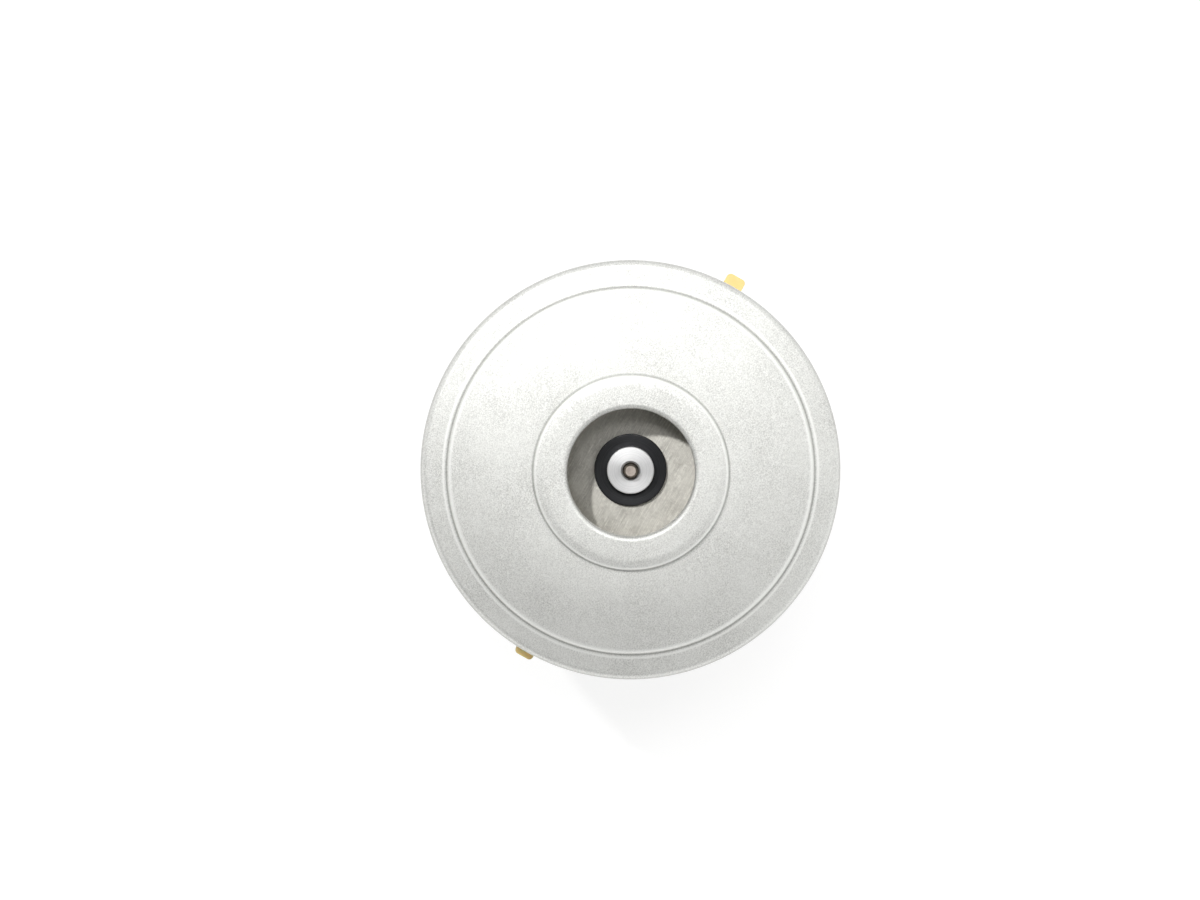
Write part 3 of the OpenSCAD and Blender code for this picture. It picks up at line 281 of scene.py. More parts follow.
def smooth_route(points, steps=6):
    """A curve through given points, with steps between each two of them."""
    p = [Vector(q) for q in points]
    p = [p[0] * 2 - p[1], *p, p[-1] * 2 - p[-2]]
    route = []
    for i in range(1, len(p) - 2):
        a, b, c, d = p[i - 1:i + 3]
        for k in range(steps):
            t = k / steps
            point = 2 * b + (c - a) * t + (2 * a - 5 * b + 4 * c - d) * t ** 2
            route.append((point + (3 * b - a - 3 * c + d) * t ** 3) / 2)
    route.append(p[-2])
    return route


def half_turn(points):
    return [(-x, -y, z) for x, y, z in points]


# Fan cover: one sheet, bent from the skirt to the lip of the eye. Each ring on it has a radius, a
# half width and a strength: painted shade at each crease, painted highlight at each bend, polish on the
# rim.

COVER_LOW, COVER_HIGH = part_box("fan_cover")
COVER_R = COVER_HIGH.x / MM
SKIRT_Z = COVER_LOW.z / MM
TOP_Z = COVER_HIGH.z / MM
NECK_R = 29.8
CAP_R = 56.4
SHEET_T = 0.8
EYE_R = 19.6
EYE_DEPTH = 5.0
LIP_R = 1.4
NECK_H = 3.2
NECK_EDGE_R = 0.9
LAND_R = 27.0
LAND_SLOPE = math.radians(4.0)
SHOULDER_SLOPE = math.radians(11)
LAND_BEND_R = 8.0
CAP_H = 1.6
CAP_EDGE_R = 1.3
FOOT_R = 0.7
DOME_SLOPE_IN = math.radians(3)
DOME_SLOPE_OUT = math.radians(18)
RIM_SLOPE = math.radians(14)
RIM_EDGE_R = 2.8
NOTCH_HALF = 3.4
NOTCH_TOP = SKIRT_Z + 4.8
DENT_COUNT = 6
DENT_Z = SKIRT_Z + 4.6
DENT_R = 1.5
DENT_DEPTH = 0.4
DENT_STEPS = 6
DOME_STEPS = 20
SKIRT_ROW = 4.0
SKIRT_ROWS = (2, 3, 4, 5)
COVER_SEGMENTS = 216
# Painted shade: dark rings in the sheet's colour at each crease
CREASE_SHADE_RINGS = ((NECK_R + 0.35, 0.45, 0.48), (CAP_R + 0.4, 0.45, 0.6), (COVER_R - 0.4, 0.5, 0.3))
# Painted highlight: pale rings in the sheet's colour along each bend
BEND_HIGHLIGHT_RINGS = ((NECK_R - 0.4, 0.6, 0.8), (CAP_R - 0.7, 0.9, 0.8), (CAP_R + 1.4, 0.6, 0.8))
POLISH = ((COVER_R - 1.0, 1.3, 0.2),)


# Finishes

WAVE_RADIANS = 20  # phase that a wave texture runs through over one unit of its scale
STREAK_DEG = 35
CROSS_LINES_DEG = 78
SCRATCH_DEG = 24


class Finish:
    """A procedural material: one Principled shader and the textures that feed it.

    Textures lie in the part's own frame, so sizes are real ones, in millimetres.
    """

    def __init__(self, name, **constants):
        self.material = bpy.data.materials.new(name)
        self.material.use_nodes = True
        self.nodes = self.material.node_tree.nodes
        self.links = self.material.node_tree.links
        self.shader = self.nodes["Principled BSDF"]
        for socket, value in constants.items():
            title = socket.replace("_", " ").title().replace("Ior", "IOR")
            self.shader.inputs[title].default_value = value
        self.where = self.nodes.new("ShaderNodeTexCoord").outputs["Object"]

    def node(self, kind, inputs, **settings):
        made = self.nodes.new("ShaderNode" + kind)
        for key, value in settings.items():
            setattr(made, key, value)
        for socket, value in inputs.items():
            if isinstance(value, bpy.types.NodeSocket):
                self.links.new(value, made.inputs[socket])
            else:
                made.inputs[socket].default_value = value
        return made.outputs

    def stretched(self, scale, turn_deg=(0, 0, 0)):
        turn = [math.radians(a) for a in turn_deg]
        return self.node("Mapping", {"Vector": self.where, "Scale": scale, "Rotation": turn})["Vector"]

    def noise(self, size, detail=2.0, rough=0.5, where=None):
        inputs = {
            "Vector": where or self.where, "Scale": 1 / (size * MM), "Detail": detail, "Roughness": rough,
        }
        return self.node("TexNoise", inputs)[0]

    def cells(self, size):
        return self.node("TexVoronoi", {"Vector": self.where, "Scale": 1 / (size * MM)})["Color"]

    def stripes(self, period, axis="Z", wander=0.0, where=None):
        scale = 2 * math.pi / (WAVE_RADIANS * period * MM)
        inputs = {"Vector": where or self.where, "Scale": scale, "Distortion": wander}
        return self.node("TexWave", inputs, bands_direction=axis)["Fac"]

    def rings(self, size):
        """Uneven concentric lines about the shaft."""
        inputs = {"W": self.radius(), "Scale": 1 / (size * MM), "Detail": 2.0}
        return self.node("TexNoise", inputs, noise_dimensions="1D")[0]

    def ramp(self, factor, low, high, low_at=0.3, high_at=0.7):
        made = self.nodes.new("ShaderNodeValToRGB")
        for element, at, colour in zip(made.color_ramp.elements, (low_at, high_at), (low, high)):
            element.position = at
            element.color = (*colour, 1)
        self.links.new(factor, made.inputs["Fac"])
        return made.outputs["Color"]

    def blend(self, factor, a, b, mode="MIX"):
        made = self.nodes.new("ShaderNodeMix")
        made.data_type = "RGBA"
        made.blend_type = mode
        for index, value in ((0, factor), (6, a), (7, b)):
            if isinstance(value, bpy.types.NodeSocket):
                self.links.new(value, made.inputs[index])
            else:
                made.inputs[index].default_value = value if index == 0 else (*value, 1)
        return made.outputs[2]

    def span(self, factor, low, high, low_at=0.3, high_at=0.7):
        inputs = {"Value": factor, "From Min": low_at, "From Max": high_at, "To Min": low, "To Max": high}
        return self.node("MapRange", inputs)["Result"]

    def radius(self):
        """Distance from the shaft's axis, in metres."""
        flat = self.node("VectorMath", {0: self.where, 1: (1, 1, 0)}, operation="MULTIPLY")[0]
        return self.node("VectorMath", {0: flat}, operation="LENGTH")["Value"]

    def band(self, radius, width, amount):
        """A soft ring at a radius, width millimetres to each side."""
        off = self.node("Math", {0: self.radius(), 1: radius * MM}, operation="SUBTRACT")[0]
        off = self.node("Math", {0: off}, operation="ABSOLUTE")[0]
        return self.span(off, amount, 0.0, 0.0, width * MM)

    def colour(self, value):
        self.links.new(value, self.shader.inputs["Base Color"])

    def rough(self, factor, low, high):
        self.links.new(self.span(factor, low, high), self.shader.inputs["Roughness"])

    def relief(self, height, depth, strength=1.0):
        """Fine unevenness of the surface; several calls add up."""
        inputs = {"Height": height, "Distance": depth * MM, "Strength": strength}
        socket = self.shader.inputs["Normal"]
        if socket.is_linked:
            inputs["Normal"] = socket.links[0].from_socket
        self.links.new(self.node("Bump", inputs)["Normal"], socket)


def grey(value, warm=0.0):
    return (value * (1 + warm), value, value * (1 - warm))


def tinted(colour, share):
    return tuple(min(1.0, c * share) for c in colour)


def zinc_sheet(name, light, dark, marks, crease_shade=(), bend_highlights=(), polish=()):
    """Galvanised sheet: a fine grain, faint crystals, soft clouds and handling marks.

    Rings of painted shade darken each crease, rings of painted highlight lighten each bend, and polish
    lists rings that are smoother than the rest.
    """
    f = Finish(name, metallic=0.9)
    grain = f.noise(0.42, detail=3.0, rough=0.75)
    blotch = f.noise(2.4, detail=3.0, rough=0.6)
    cloud = f.noise(16.0, detail=2.0)
    tone = f.ramp(grain, dark, light, 0.38, 0.60)
    tone = f.blend(0.2, tone, f.span(f.cells(1.3), 0.0, 1.0, 0.0, 1.0), mode="SOFT_LIGHT")
    tone = f.blend(f.span(blotch, 0.0, 0.3), tone, tinted(dark, 1.1))
    tone = f.blend(f.span(cloud, 0.0, 0.45), tone, tinted(light, 0.97))
    streak = f.noise(1.0, detail=4.0, where=f.stretched((0.9, 2.6, 1.2), (0, 0, STREAK_DEG)))
    tone = f.blend(f.span(streak, 0.0, marks, 0.68, 0.74), tone, grey(0.24))
    # Painted highlight along each bend
    for ring in bend_highlights:
        tone = f.blend(f.band(*ring), tone, BEND_HIGHLIGHT_COLOUR)
    # Painted shade in each crease
    for ring in crease_shade:
        tone = f.blend(f.band(*ring), tone, CREASE_SHADE_COLOUR)
    f.colour(tone)
    gloss = f.span(grain, 0.65, 0.55)
    for ring in polish:
        gloss = f.node("Math", {0: gloss, 1: f.band(*ring)}, operation="SUBTRACT")[0]
    f.links.new(gloss, f.shader.inputs["Roughness"])
    f.relief(grain, 0.05)
    f.relief(cloud, 0.05, 0.4)
    return f.material


def brushed(name, light, dark, rough, turn_deg, spread=0.0):
    """Sheet with straight brushing lines, soft patches and fine scratches.

    The lines lie at turn_deg from the part's X axis, and spread draws highlights out across them.
    """
    f = Finish(name, metallic=1.0, anisotropic=spread)
    turn = math.radians(turn_deg)
    normal = f.nodes.new("ShaderNodeNewGeometry").outputs["Normal"]
    along = (math.cos(turn), math.sin(turn), 0)
    across = f.node("VectorMath", {0: normal, 1: along}, operation="CROSS_PRODUCT")["Vector"]
    f.links.new(across, f.shader.inputs["Tangent"])
    line = f.noise(1.0, detail=3.0, where=f.stretched((0.22, 2.8, 2.8), (0, 0, -turn_deg)))
    crosswise = f.stretched((0.20, 1.5, 1.0), (0, 0, CROSS_LINES_DEG - turn_deg))
    cross = f.noise(1.0, detail=2.0, where=crosswise)
    mottle = f.noise(0.8, detail=3.0, rough=0.65)
    patches = f.noise(5.0, detail=3.0, rough=0.6)
    askew = f.stretched((0.05, 2.0, 2.0), (0, 0, SCRATCH_DEG - turn_deg))
    scratch = f.noise(1.0, detail=1.0, where=askew)
    tone = f.ramp(line, dark, light, 0.26, 0.70)
    tone = f.blend(f.span(mottle, 0.0, 0.6, 0.42, 0.62), tone, tinted(dark, 0.9))
    tone = f.blend(f.span(cross, 0.0, 0.5), tone, tinted(dark, 0.9))
    tone = f.blend(f.span(patches, 0.0, 0.55), tone, tinted(light, 0.78))
    f.colour(f.blend(f.span(scratch, 0.0, 0.6, 0.74, 0.78), tone, tinted(light, 1.25)))
    f.rough(patches, rough - 0.06, rough + 0.08)
    f.relief(line, 0.025)
    f.relief(mottle, 0.02)
    f.relief(patches, 0.05, 0.3)
    return f.material


def lathed(name, light, dark, rough, spread, metallic):
    """Turned metal: fine rings about the shaft that draw highlights out into wedges."""
    f = Finish(name, metallic=metallic, anisotropic=spread, anisotropic_rotation=0.25)
    tangent = f.nodes.new("ShaderNodeTangent")
    tangent.direction_type = "RADIAL"
    tangent.axis = "Z"
    f.links.new(tangent.outputs[0], f.shader.inputs["Tangent"])
    ring = f.rings(0.22)
    stain = f.noise(2.5, detail=3.0)
    tone = f.ramp(ring, dark, light)
    f.colour(f.blend(f.span(stain, 0.0, 0.3), tone, tinted(dark, 0.9)))
    f.rough(ring, rough - 0.05, rough + 0.05)
    f.relief(ring, 0.004)
    return f.material


def plain_metal(name, light, dark, rough, shade_rings=()):
    """Bare metal with a fine grain; the last argument lists (radius, width) of rings of painted shade
    about the shaft.
    """
    f = Finish(name, metallic=1.0)
    grain = f.noise(1.2, detail=4.0, rough=0.6)
    cloud = f.noise(9.0, detail=2.0)
    tone = f.ramp(grain, dark, light)
    tone = f.blend(f.span(cloud, 0.0, 0.4), tone, tinted(dark, 0.95))
    # Rings of painted shade
    for radius, width in shade_rings:
        tone = f.blend(f.band(radius, width, 1.0), tone, tinted(dark, 0.12))
    f.colour(tone)
    f.rough(grain, rough - 0.06, rough + 0.08)
    f.relief(grain, 0.004)
    return f.material


def moulded(name, light, dark, rough, soft=0.0):
    """Moulded plastic: a faint flow pattern and an eroded-mould texture."""
    f = Finish(name, subsurface_weight=soft, subsurface_scale=0.0015)
    flow = f.noise(11.0, detail=3.0)
    grain = f.noise(0.35, detail=2.0)
    f.colour(f.ramp(flow, dark, light, 0.25, 0.75))
    f.rough(grain, rough - 0.06, rough + 0.08)
    f.relief(grain, 0.006)
    return f.material


def laminated(name):
    """Stacked sheets of electrical steel, half a millimetre each."""
    f = Finish(name, metallic=1.0)
    sheet = f.stripes(0.5)
    grain = f.noise(1.5, detail=4.0)
    tone = f.ramp(sheet, grey(0.10), grey(0.36, 0.01), 0.05, 0.4)
    f.colour(f.blend(f.span(grain, 0.0, 0.6), tone, (0.22, 0.19, 0.17)))
    f.rough(grain, 0.38, 0.55)
    f.relief(sheet, 0.05)
    return f.material


def enamelled_wire(name):
    """Copper under clear enamel, with lighter and darker stretches along the turns."""
    f = Finish(name, metallic=1.0, coat_weight=0.7, coat_roughness=0.14)
    tone = f.noise(2.2, detail=3.0)
    cloud = f.noise(13.0)
    base = f.ramp(tone, (0.42, 0.13, 0.045), (0.70, 0.27, 0.11))
    f.colour(f.blend(f.span(cloud, 0.0, 0.5), base, (0.50, 0.17, 0.055)))
    f.rough(tone, 0.28, 0.40)
    f.relief(tone, 0.01)
    return f.material


def worn_copper(name):
    """Turned copper bars, darkened along the track of the brushes."""
    f = Finish(name, metallic=1.0)
    line = f.stripes(0.16, wander=1.5)
    film = f.noise(5.0, detail=3.0, where=f.stretched((1.0, 1.0, 2.4)))
    base = f.ramp(line, (0.58, 0.27, 0.15), (0.78, 0.42, 0.27))
    f.colour(f.blend(f.span(film, 0.0, 0.75, 0.4, 0.6), base, (0.26, 0.13, 0.08)))
    f.rough(line, 0.24, 0.34)
    f.relief(line, 0.006)
    return f.material


def graphite(name):
    """Pressed carbon of the brushes."""
    f = Finish(name, specular_ior_level=0.4)
    grain = f.noise(0.25, detail=4.0)
    f.colour(f.ramp(grain, grey(0.018), grey(0.055)))
    f.rough(grain, 0.42, 0.62)
    f.relief(grain, 0.01)
    return f.material


def strands(name):
    """Bare stranded copper."""
    f = Finish(name, metallic=1.0)
    lay = f.stripes(0.35, axis="DIAGONAL")
    f.colour(f.ramp(lay, (0.42, 0.17, 0.08), (0.78, 0.40, 0.24)))
    f.rough(lay, 0.45, 0.32)
    f.relief(lay, 0.05)
    return f.material


def braided_sleeve(name):
    """Glass-fibre sleeve with a diagonal braid."""
    f = Finish(name, sheen_weight=0.3)
    one = f.stripes(0.45, axis="DIAGONAL")
    other = f.stripes(0.45, axis="DIAGONAL", where=f.stretched((1, -1, 1)))
    weave = f.node("Math", {0: one, 1: other}, operation="MAXIMUM")[0]
    f.colour(f.ramp(weave, (0.55, 0.52, 0.44), (0.84, 0.81, 0.73)))
    f.rough(weave, 0.75, 0.6)
    f.relief(weave, 0.06)
    return f.material


BRASS = (0.78, 0.56, 0.24)
# Colour of the painted shade in each crease
CREASE_SHADE_COLOUR = (0.20, 0.20, 0.19)
# Colour of the painted highlight along each bend
BEND_HIGHLIGHT_COLOUR = (0.97, 0.975, 0.95)
PLATE_LINES_DEG = -10.4
# Painted shade: a dark ring on the thread where it sinks into the nut's countersink
THREAD_SHADE_RINGS = ((2.4, 0.45),)
MAKERS = {
    "galvanised_steel": (
        zinc_sheet, (0.86, 0.865, 0.835), (0.55, 0.55, 0.53), 0.5, CREASE_SHADE_RINGS, BEND_HIGHLIGHT_RINGS, POLISH,
    ),
    "plated_steel": (zinc_sheet, (0.66, 0.67, 0.65), (0.50, 0.505, 0.495), 0.3),
    "impeller_aluminium": (brushed, (0.96, 0.94, 0.86), (0.56, 0.54, 0.49), 0.42, PLATE_LINES_DEG, 0.88),
    "black_washer": (lathed, (0.040, 0.041, 0.044), (0.020, 0.021, 0.023), 0.36, 0.4, 0.5),
    "turned_nut": (lathed, grey(0.90), grey(0.74), 0.48, 0.5, 0.7),
    "shaft_steel": (plain_metal, (0.78, 0.69, 0.61), (0.58, 0.50, 0.44), 0.34, THREAD_SHADE_RINGS),
    "yellow_plastic": (moulded, (0.88, 0.70, 0.32), (0.83, 0.63, 0.24), 0.42, 0.3),
    "screw_zinc": (plain_metal, (0.74, 0.73, 0.69), (0.52, 0.51, 0.49), 0.30),
    "bearing_steel": (plain_metal, grey(0.72), grey(0.58), 0.20),
    "cage_brass": (plain_metal, BRASS, tinted(BRASS, 0.7), 0.32),
    "spring_steel": (plain_metal, grey(0.55), grey(0.38), 0.28),
    "laminations": (laminated,),
    "enamelled_copper": (enamelled_wire,),
    "insulation": (moulded, (0.82, 0.78, 0.66), (0.76, 0.71, 0.58), 0.45, 0.1),
    "commutator_copper": (worn_copper,),
    "moulded_hub": (moulded, (0.035, 0.026, 0.022), (0.022, 0.017, 0.015), 0.40),
    "carbon": (graphite,),
    "brass": (brushed, BRASS, tinted(BRASS, 0.72), 0.30, 90),
    "bare_copper": (strands,),
    "lead_sleeve": (braided_sleeve,),
}
finishes = {}


def finish_of(slot):
    """The material of a slot, made when it is first asked for."""
    if slot not in finishes:
        maker, *looks = MAKERS[slot]
        finishes[slot] = maker(slot, *looks)
    return finishes[slot]


for name, node_object in frame["nodes"].items():
    node_object.data.materials.clear()
    node_object.data.materials.append(finish_of(SLOT_OF[name]))


# The cover's sheet


def cover_path():
    """The cover's outer face, from the foot of the skirt up to the lip of the eye."""
    foot_z = TOP_Z - NECK_H
    dome_r = (CAP_R - NECK_R) / (math.sin(DOME_SLOPE_OUT) - math.sin(DOME_SLOPE_IN))
    dome = []
    for i in range(DOME_STEPS + 1):
        slope = DOME_SLOPE_OUT + (DOME_SLOPE_IN - DOME_SLOPE_OUT) * i / DOME_STEPS
        r = NECK_R + dome_r * (math.sin(slope) - math.sin(DOME_SLOPE_IN))
        dome.append((r, foot_z - dome_r * (math.cos(DOME_SLOPE_IN) - math.cos(slope))))
    cap_foot = dome[0][1] - CAP_H
    rim_z = cap_foot - (COVER_R - CAP_R) * math.tan(RIM_SLOPE)
    corners = [(COVER_R, SKIRT_Z), (COVER_R, rim_z), (CAP_R, cap_foot), *dome]
    land_z = TOP_Z - (LAND_R - EYE_R) * math.tan(LAND_SLOPE)
    neck_z = land_z - (NECK_R - LAND_R) * math.tan(SHOULDER_SLOPE)
    corners += [(NECK_R, neck_z), (LAND_R, land_z), (EYE_R, TOP_Z), (EYE_R, TOP_Z - EYE_DEPTH)]
    radii = [0, RIM_EDGE_R, FOOT_R, CAP_EDGE_R, *[0] * (DOME_STEPS - 1)]
    radii += [FOOT_R, NECK_EDGE_R, LAND_BEND_R, LIP_R, 0]
    return rounded(corners, radii)


def fan_cover():
    """The cover as one sheet, with a notch for each lug and a row of spot dents round the skirt."""
    path = cover_path()
    across = [k / DENT_STEPS for k in range(-DENT_STEPS, DENT_STEPS + 1)]
    fine = [DENT_Z + DENT_R * k for k in across]
    plain = [SKIRT_Z + SKIRT_ROW * k for k in SKIRT_ROWS]
    levels = sorted({SKIRT_Z, NOTCH_TOP, *(round(z, 3) for z in fine), *plain})
    path = [(COVER_R, z) for z in levels] + path[1:]
    inner = beside(path, SHEET_T)
    notch = math.degrees(math.asin(NOTCH_HALF / COVER_R))
    dents = [(k + 0.5) * 360 / DENT_COUNT for k in range(DENT_COUNT)]
    dent_half = math.degrees(DENT_R / COVER_R)
    angles = {a * 360 / COVER_SEGMENTS for a in range(COVER_SEGMENTS)}
    angles |= {(side + s * notch) % 360 for side in (0, 180) for s in (-1, 1)}
    angles |= {d + dent_half * k for d in dents for k in across}
    angles = sorted(round(a, 4) for a in angles)
    m = len(angles)

    def point(r, z, angle):
        turn = math.radians(angle)
        return (r * math.cos(turn), r * math.sin(turn), z)

    def dented(r, z, angle):
        for d in dents:
            off = math.hypot(math.radians(angle - d) * COVER_R, z - DENT_Z) / DENT_R
            if off < 1 and r > CAP_R:
                r -= DENT_DEPTH * (1 - off ** 2) ** 2
        return r

    verts = [point(dented(r, z, a), z, a) for r, z in path for a in angles]
    verts += [point(r, z, a) for r, z in inner for a in angles]
    base = len(path) * m

    def kept(i, j):
        if not 0 <= i < len(path) - 1:
            return False
        middle = (angles[j % m] + (angles[(j + 1) % m] or 360)) / 2
        near = min(abs(middle - c) for c in (0, 180, 360))
        return not (near < notch and path[i + 1][1] < NOTCH_TOP + WELD)

    faces = []
    for i in range(len(path) - 1):
        for j in range(m):
            if not kept(i, j):
                continue
            k = (j + 1) % m
            a, b, c, d = i * m + j, i * m + k, (i + 1) * m + k, (i + 1) * m + j
            faces += [(a, b, c, d), (base + d, base + c, base + b, base + a)]
            for hidden, (p, q) in (
                (kept(i - 1, j), (a, b)), (kept(i + 1, j), (c, d)),
                (kept(i, j - 1), (d, a)), (kept(i, j + 1), (b, c)),
            ):
                if not hidden:
                    faces.append((q, p, base + p, base + q))
    stands_for(mesh_piece("fan_cover_sheet", verts, faces), "fan_cover")


fan_cover()


# Washer, nut and shaft

WASHER_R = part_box("clamp_washer")[1].x / MM
WASHER_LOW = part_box("clamp_washer")[0].z / MM
WASHER_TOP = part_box("clamp_washer")[1].z / MM
NUT_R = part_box("fan_nut")[1].x / MM
NUT_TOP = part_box("fan_nut")[1].z / MM
THREAD_R = 2.5
BORE_R = 2.52
CUP = 0.3
SINK = 0.5
JOURNAL_R = 4.0
SEAT_Z = WASHER_LOW - 0.2
BODY_TOP = NUT_TOP - 0.6
THREAD_LOW = NUT_TOP - 0.8
THREAD_PITCH = 0.8
THREAD_DEPTH = 0.34
THREAD_FULLNESS = 0.8
TIP_CHAMFER = 0.9
THREAD_SIDES = 64
THREAD_ROWS = 112
TURNED_STEPS = 5


def clamp_washer():
    """A washer whose upper face is cupped under the nut."""
    outline = [
        (BORE_R, WASHER_LOW), (WASHER_R, WASHER_LOW), (WASHER_R, WASHER_TOP),
        (NUT_R, WASHER_TOP - CUP), (BORE_R, WASHER_TOP - CUP),
    ]
    outline = rounded(outline, [0, 0.4, 0.4, 0, 0], TURNED_STEPS)
    stands_for(turned("clamp_washer_form", outline), "clamp_washer")


def fan_nut():
    """A round nut with a countersunk bore."""
    outline = [
        (BORE_R, WASHER_TOP - CUP), (NUT_R, WASHER_TOP - CUP), (NUT_R, NUT_TOP), (BORE_R + SINK, NUT_TOP),
        (BORE_R, NUT_TOP - SINK),
    ]
    outline = rounded(outline, [0, 0.2, 0.35, 0, 0], TURNED_STEPS)
    stands_for(turned("fan_nut_form", outline), "fan_nut")


def shaft_thread(tip):
    """The threaded end, from inside the nut up to the chamfered tip."""
    verts = []
    for i in range(THREAD_ROWS + 1):
        z = THREAD_LOW + (tip - THREAD_LOW) * i / THREAD_ROWS
        for k in range(THREAD_SIDES):
            turn = k / THREAD_SIDES
            phase = (z / THREAD_PITCH - turn) % 1.0
            r = THREAD_R - THREAD_DEPTH * (1 - abs(2 * phase - 1)) ** THREAD_FULLNESS
            r = min(r, THREAD_R - TIP_CHAMFER + (tip - z))
            angle = 2 * math.pi * turn
            verts.append((r * math.cos(angle), r * math.sin(angle), z))
    faces = []
    for i in range(THREAD_ROWS):
        a, b = i * THREAD_SIDES, (i + 1) * THREAD_SIDES
        for k in range(THREAD_SIDES):
            after = (k + 1) % THREAD_SIDES
            faces.append((a + k, a + after, b + after, b + k))
    faces.append(tuple(range(THREAD_SIDES)))
    faces.append(tuple(THREAD_ROWS * THREAD_SIDES + k for k in range(THREAD_SIDES)))
    return mesh_piece("shaft_thread", verts, faces)


def shaft():
    """The shaft, with its thread cut as a helix above the nut."""
    low, tip = (corner.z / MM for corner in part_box("shaft"))
    core_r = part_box("shaft")[1].x / MM
    core_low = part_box("rear_bearing_inner_ring")[1].z / MM
    core_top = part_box("front_bearing_inner_ring")[0].z / MM
    steps = [
        (0, low), (JOURNAL_R, low), (JOURNAL_R, core_low), (core_r, core_low),
        (core_r, core_top), (JOURNAL_R, core_top), (JOURNAL_R, SEAT_Z), (THREAD_R, SEAT_Z),
        (THREAD_R, BODY_TOP), (0, BODY_TOP),
    ]
    body = turned("shaft_form", rounded(steps, [0, 0.45, 0, 0.3, 0.3, 0, 0, 0, 0, 0], TURNED_STEPS - 1))
    thread = shaft_thread(tip)
    thread.data.materials.append(finish_of("shaft_steel"))
    stands_for(body, "shaft")
    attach(thread, "rotor")


clamp_washer()
fan_nut()
shaft()


# Wound coils

WIRE_D = 0.8
WIRE_SIDES = 6
TURN_PITCH = WIRE_D * 1.04
TURN_STEPS = 96
COIL_CORNER_R = 7.0
COIL_CORNER_LEAST = 1.2
COIL_IN_R = 27.9
COIL_OUT_R = 35.3
COIL_SPLIT = 3.0
COIL_LAYERS = 9
TURNS_SHOWN = 7
TURNS_HIDDEN = 2
WOBBLE = 0.05
WOBBLE_PER_STEP = 0.37
WOBBLE_PER_MM = 5


def pancake(r, turns, low, high, half_width):
    """One layer of a field coil: a rounded rectangle that spirals inwards, bent round the shaft.

    The half width is measured along the layer's arc, from the middle of the pole at +Y.
    """
    path = []
    for step in range(turns * TURN_STEPS + 1):
        inset = TURN_PITCH * (step / TURN_STEPS) + WIRE_D / 2
        w, z0, z1 = half_width - inset, low + inset, high - inset
        c = max(COIL_CORNER_LEAST, COIL_CORNER_R - inset)
        straight_x, straight_z = 2 * (w - c), z1 - z0 - 2 * c
        quarter = math.pi * c / 2
        around = 2 * (straight_x + straight_z) + 4 * quarter
        s = (step / TURN_STEPS % 1.0) * around
        sides = [
            (straight_x, (-w + c, z0), (1, 0)), (straight_z, (w, z0 + c), (0, 1)),
            (straight_x, (w - c, z1), (-1, 0)), (straight_z, (-w, z1 - c), (0, -1)),
        ]
        centres = [(w - c, z0 + c), (w - c, z1 - c), (-w + c, z1 - c), (-w + c, z0 + c)]
        for k, (length, origin, along) in enumerate(sides):
            if s <= length:
                u, z = origin[0] + along[0] * s, origin[1] + along[1] * s
                break
            s -= length
            if s <= quarter:
                angle = math.radians(90 * k - 90) + s / c
                u = centres[k][0] + c * math.cos(angle)
                z = centres[k][1] + c * math.sin(angle)
                break
            s -= quarter
        else:
            u, z = -w + c, z0
        wobble = WOBBLE * math.sin(step * WOBBLE_PER_STEP + r * WOBBLE_PER_MM)
        turn = math.pi / 2 - u / r
        path.append(((r + wobble) * math.cos(turn), (r + wobble) * math.sin(turn), z))
    return path


def field_coil(node, flip):
    """A saddle coil of enamelled wire round one pole."""
    low, high = (corner.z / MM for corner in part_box(node))
    pitch = (COIL_OUT_R - COIL_IN_R - WIRE_D) / (COIL_LAYERS - 1)
    bundle = Bundle()
    for layer in range(COIL_LAYERS):
        r = COIL_IN_R + WIRE_D / 2 + pitch * layer
        half_width = r * (math.pi / 2 - math.asin(COIL_SPLIT / r))
        turns = TURNS_SHOWN if layer in (0, COIL_LAYERS - 1) else TURNS_HIDDEN
        path = pancake(r, turns, low, high, half_width)
        bundle.add(tube(half_turn(path) if flip else path, WIRE_D / 2, WIRE_SIDES))
    stands_for(bundle.piece(f"{node}_wire"), node)


field_coil("field_coil_a", False)
field_coil("field_coil_b", True)


# Armature winding. HEAD_WIRES lists layers and lanes, SLOT_FILLS radii and thicknesses, and RISER and
# HEAD_CORE radii and heights.

SLOT_COUNT = 22
CORE_LOW, CORE_TOP = (corner.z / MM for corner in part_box("armature_core"))
DISC_T = 1.0
COIL_SPAN = 10
HEAD_STEPS = 22
HEAD_OUT_R = 18.9
HEAD_IN_R = 8.4
HEAD_FULLNESS = 0.8
HEAD_LOW = 0.5
HEAD_CLIMB = 4.8
DIVE_AT = 0.84
WIRE_DIP = 1.0
LANE_OUT = 1.0
LANE_IN = 0.9
LAYER_RISE = 0.85
HEAD_WIRES = ((0, 0), (0, 1), (1, 0.5), (1, 1.5))
SLOT_FILLS = ((18.6, 1.75), (15.6, 1.25), (13.2, 0.75))
FILL_SIDES = 10
RISER = ((12.6, 31.7), (13.25, 31.5), (13.35, 30.6), (13.35, 31.9), (14.0, 32.8), (14.6, 33.8))
RISER_R = 0.33
RISER_STEPS = 3
HEAD_CORE = ((6.6, 0.0), (18.2, 0.0), (18.2, 3.6), (6.6, 4.6))
HEAD_CORE_RADII = (0, 0, 1.6, 1.6)
HEAD_CORE_SEGMENTS = 66


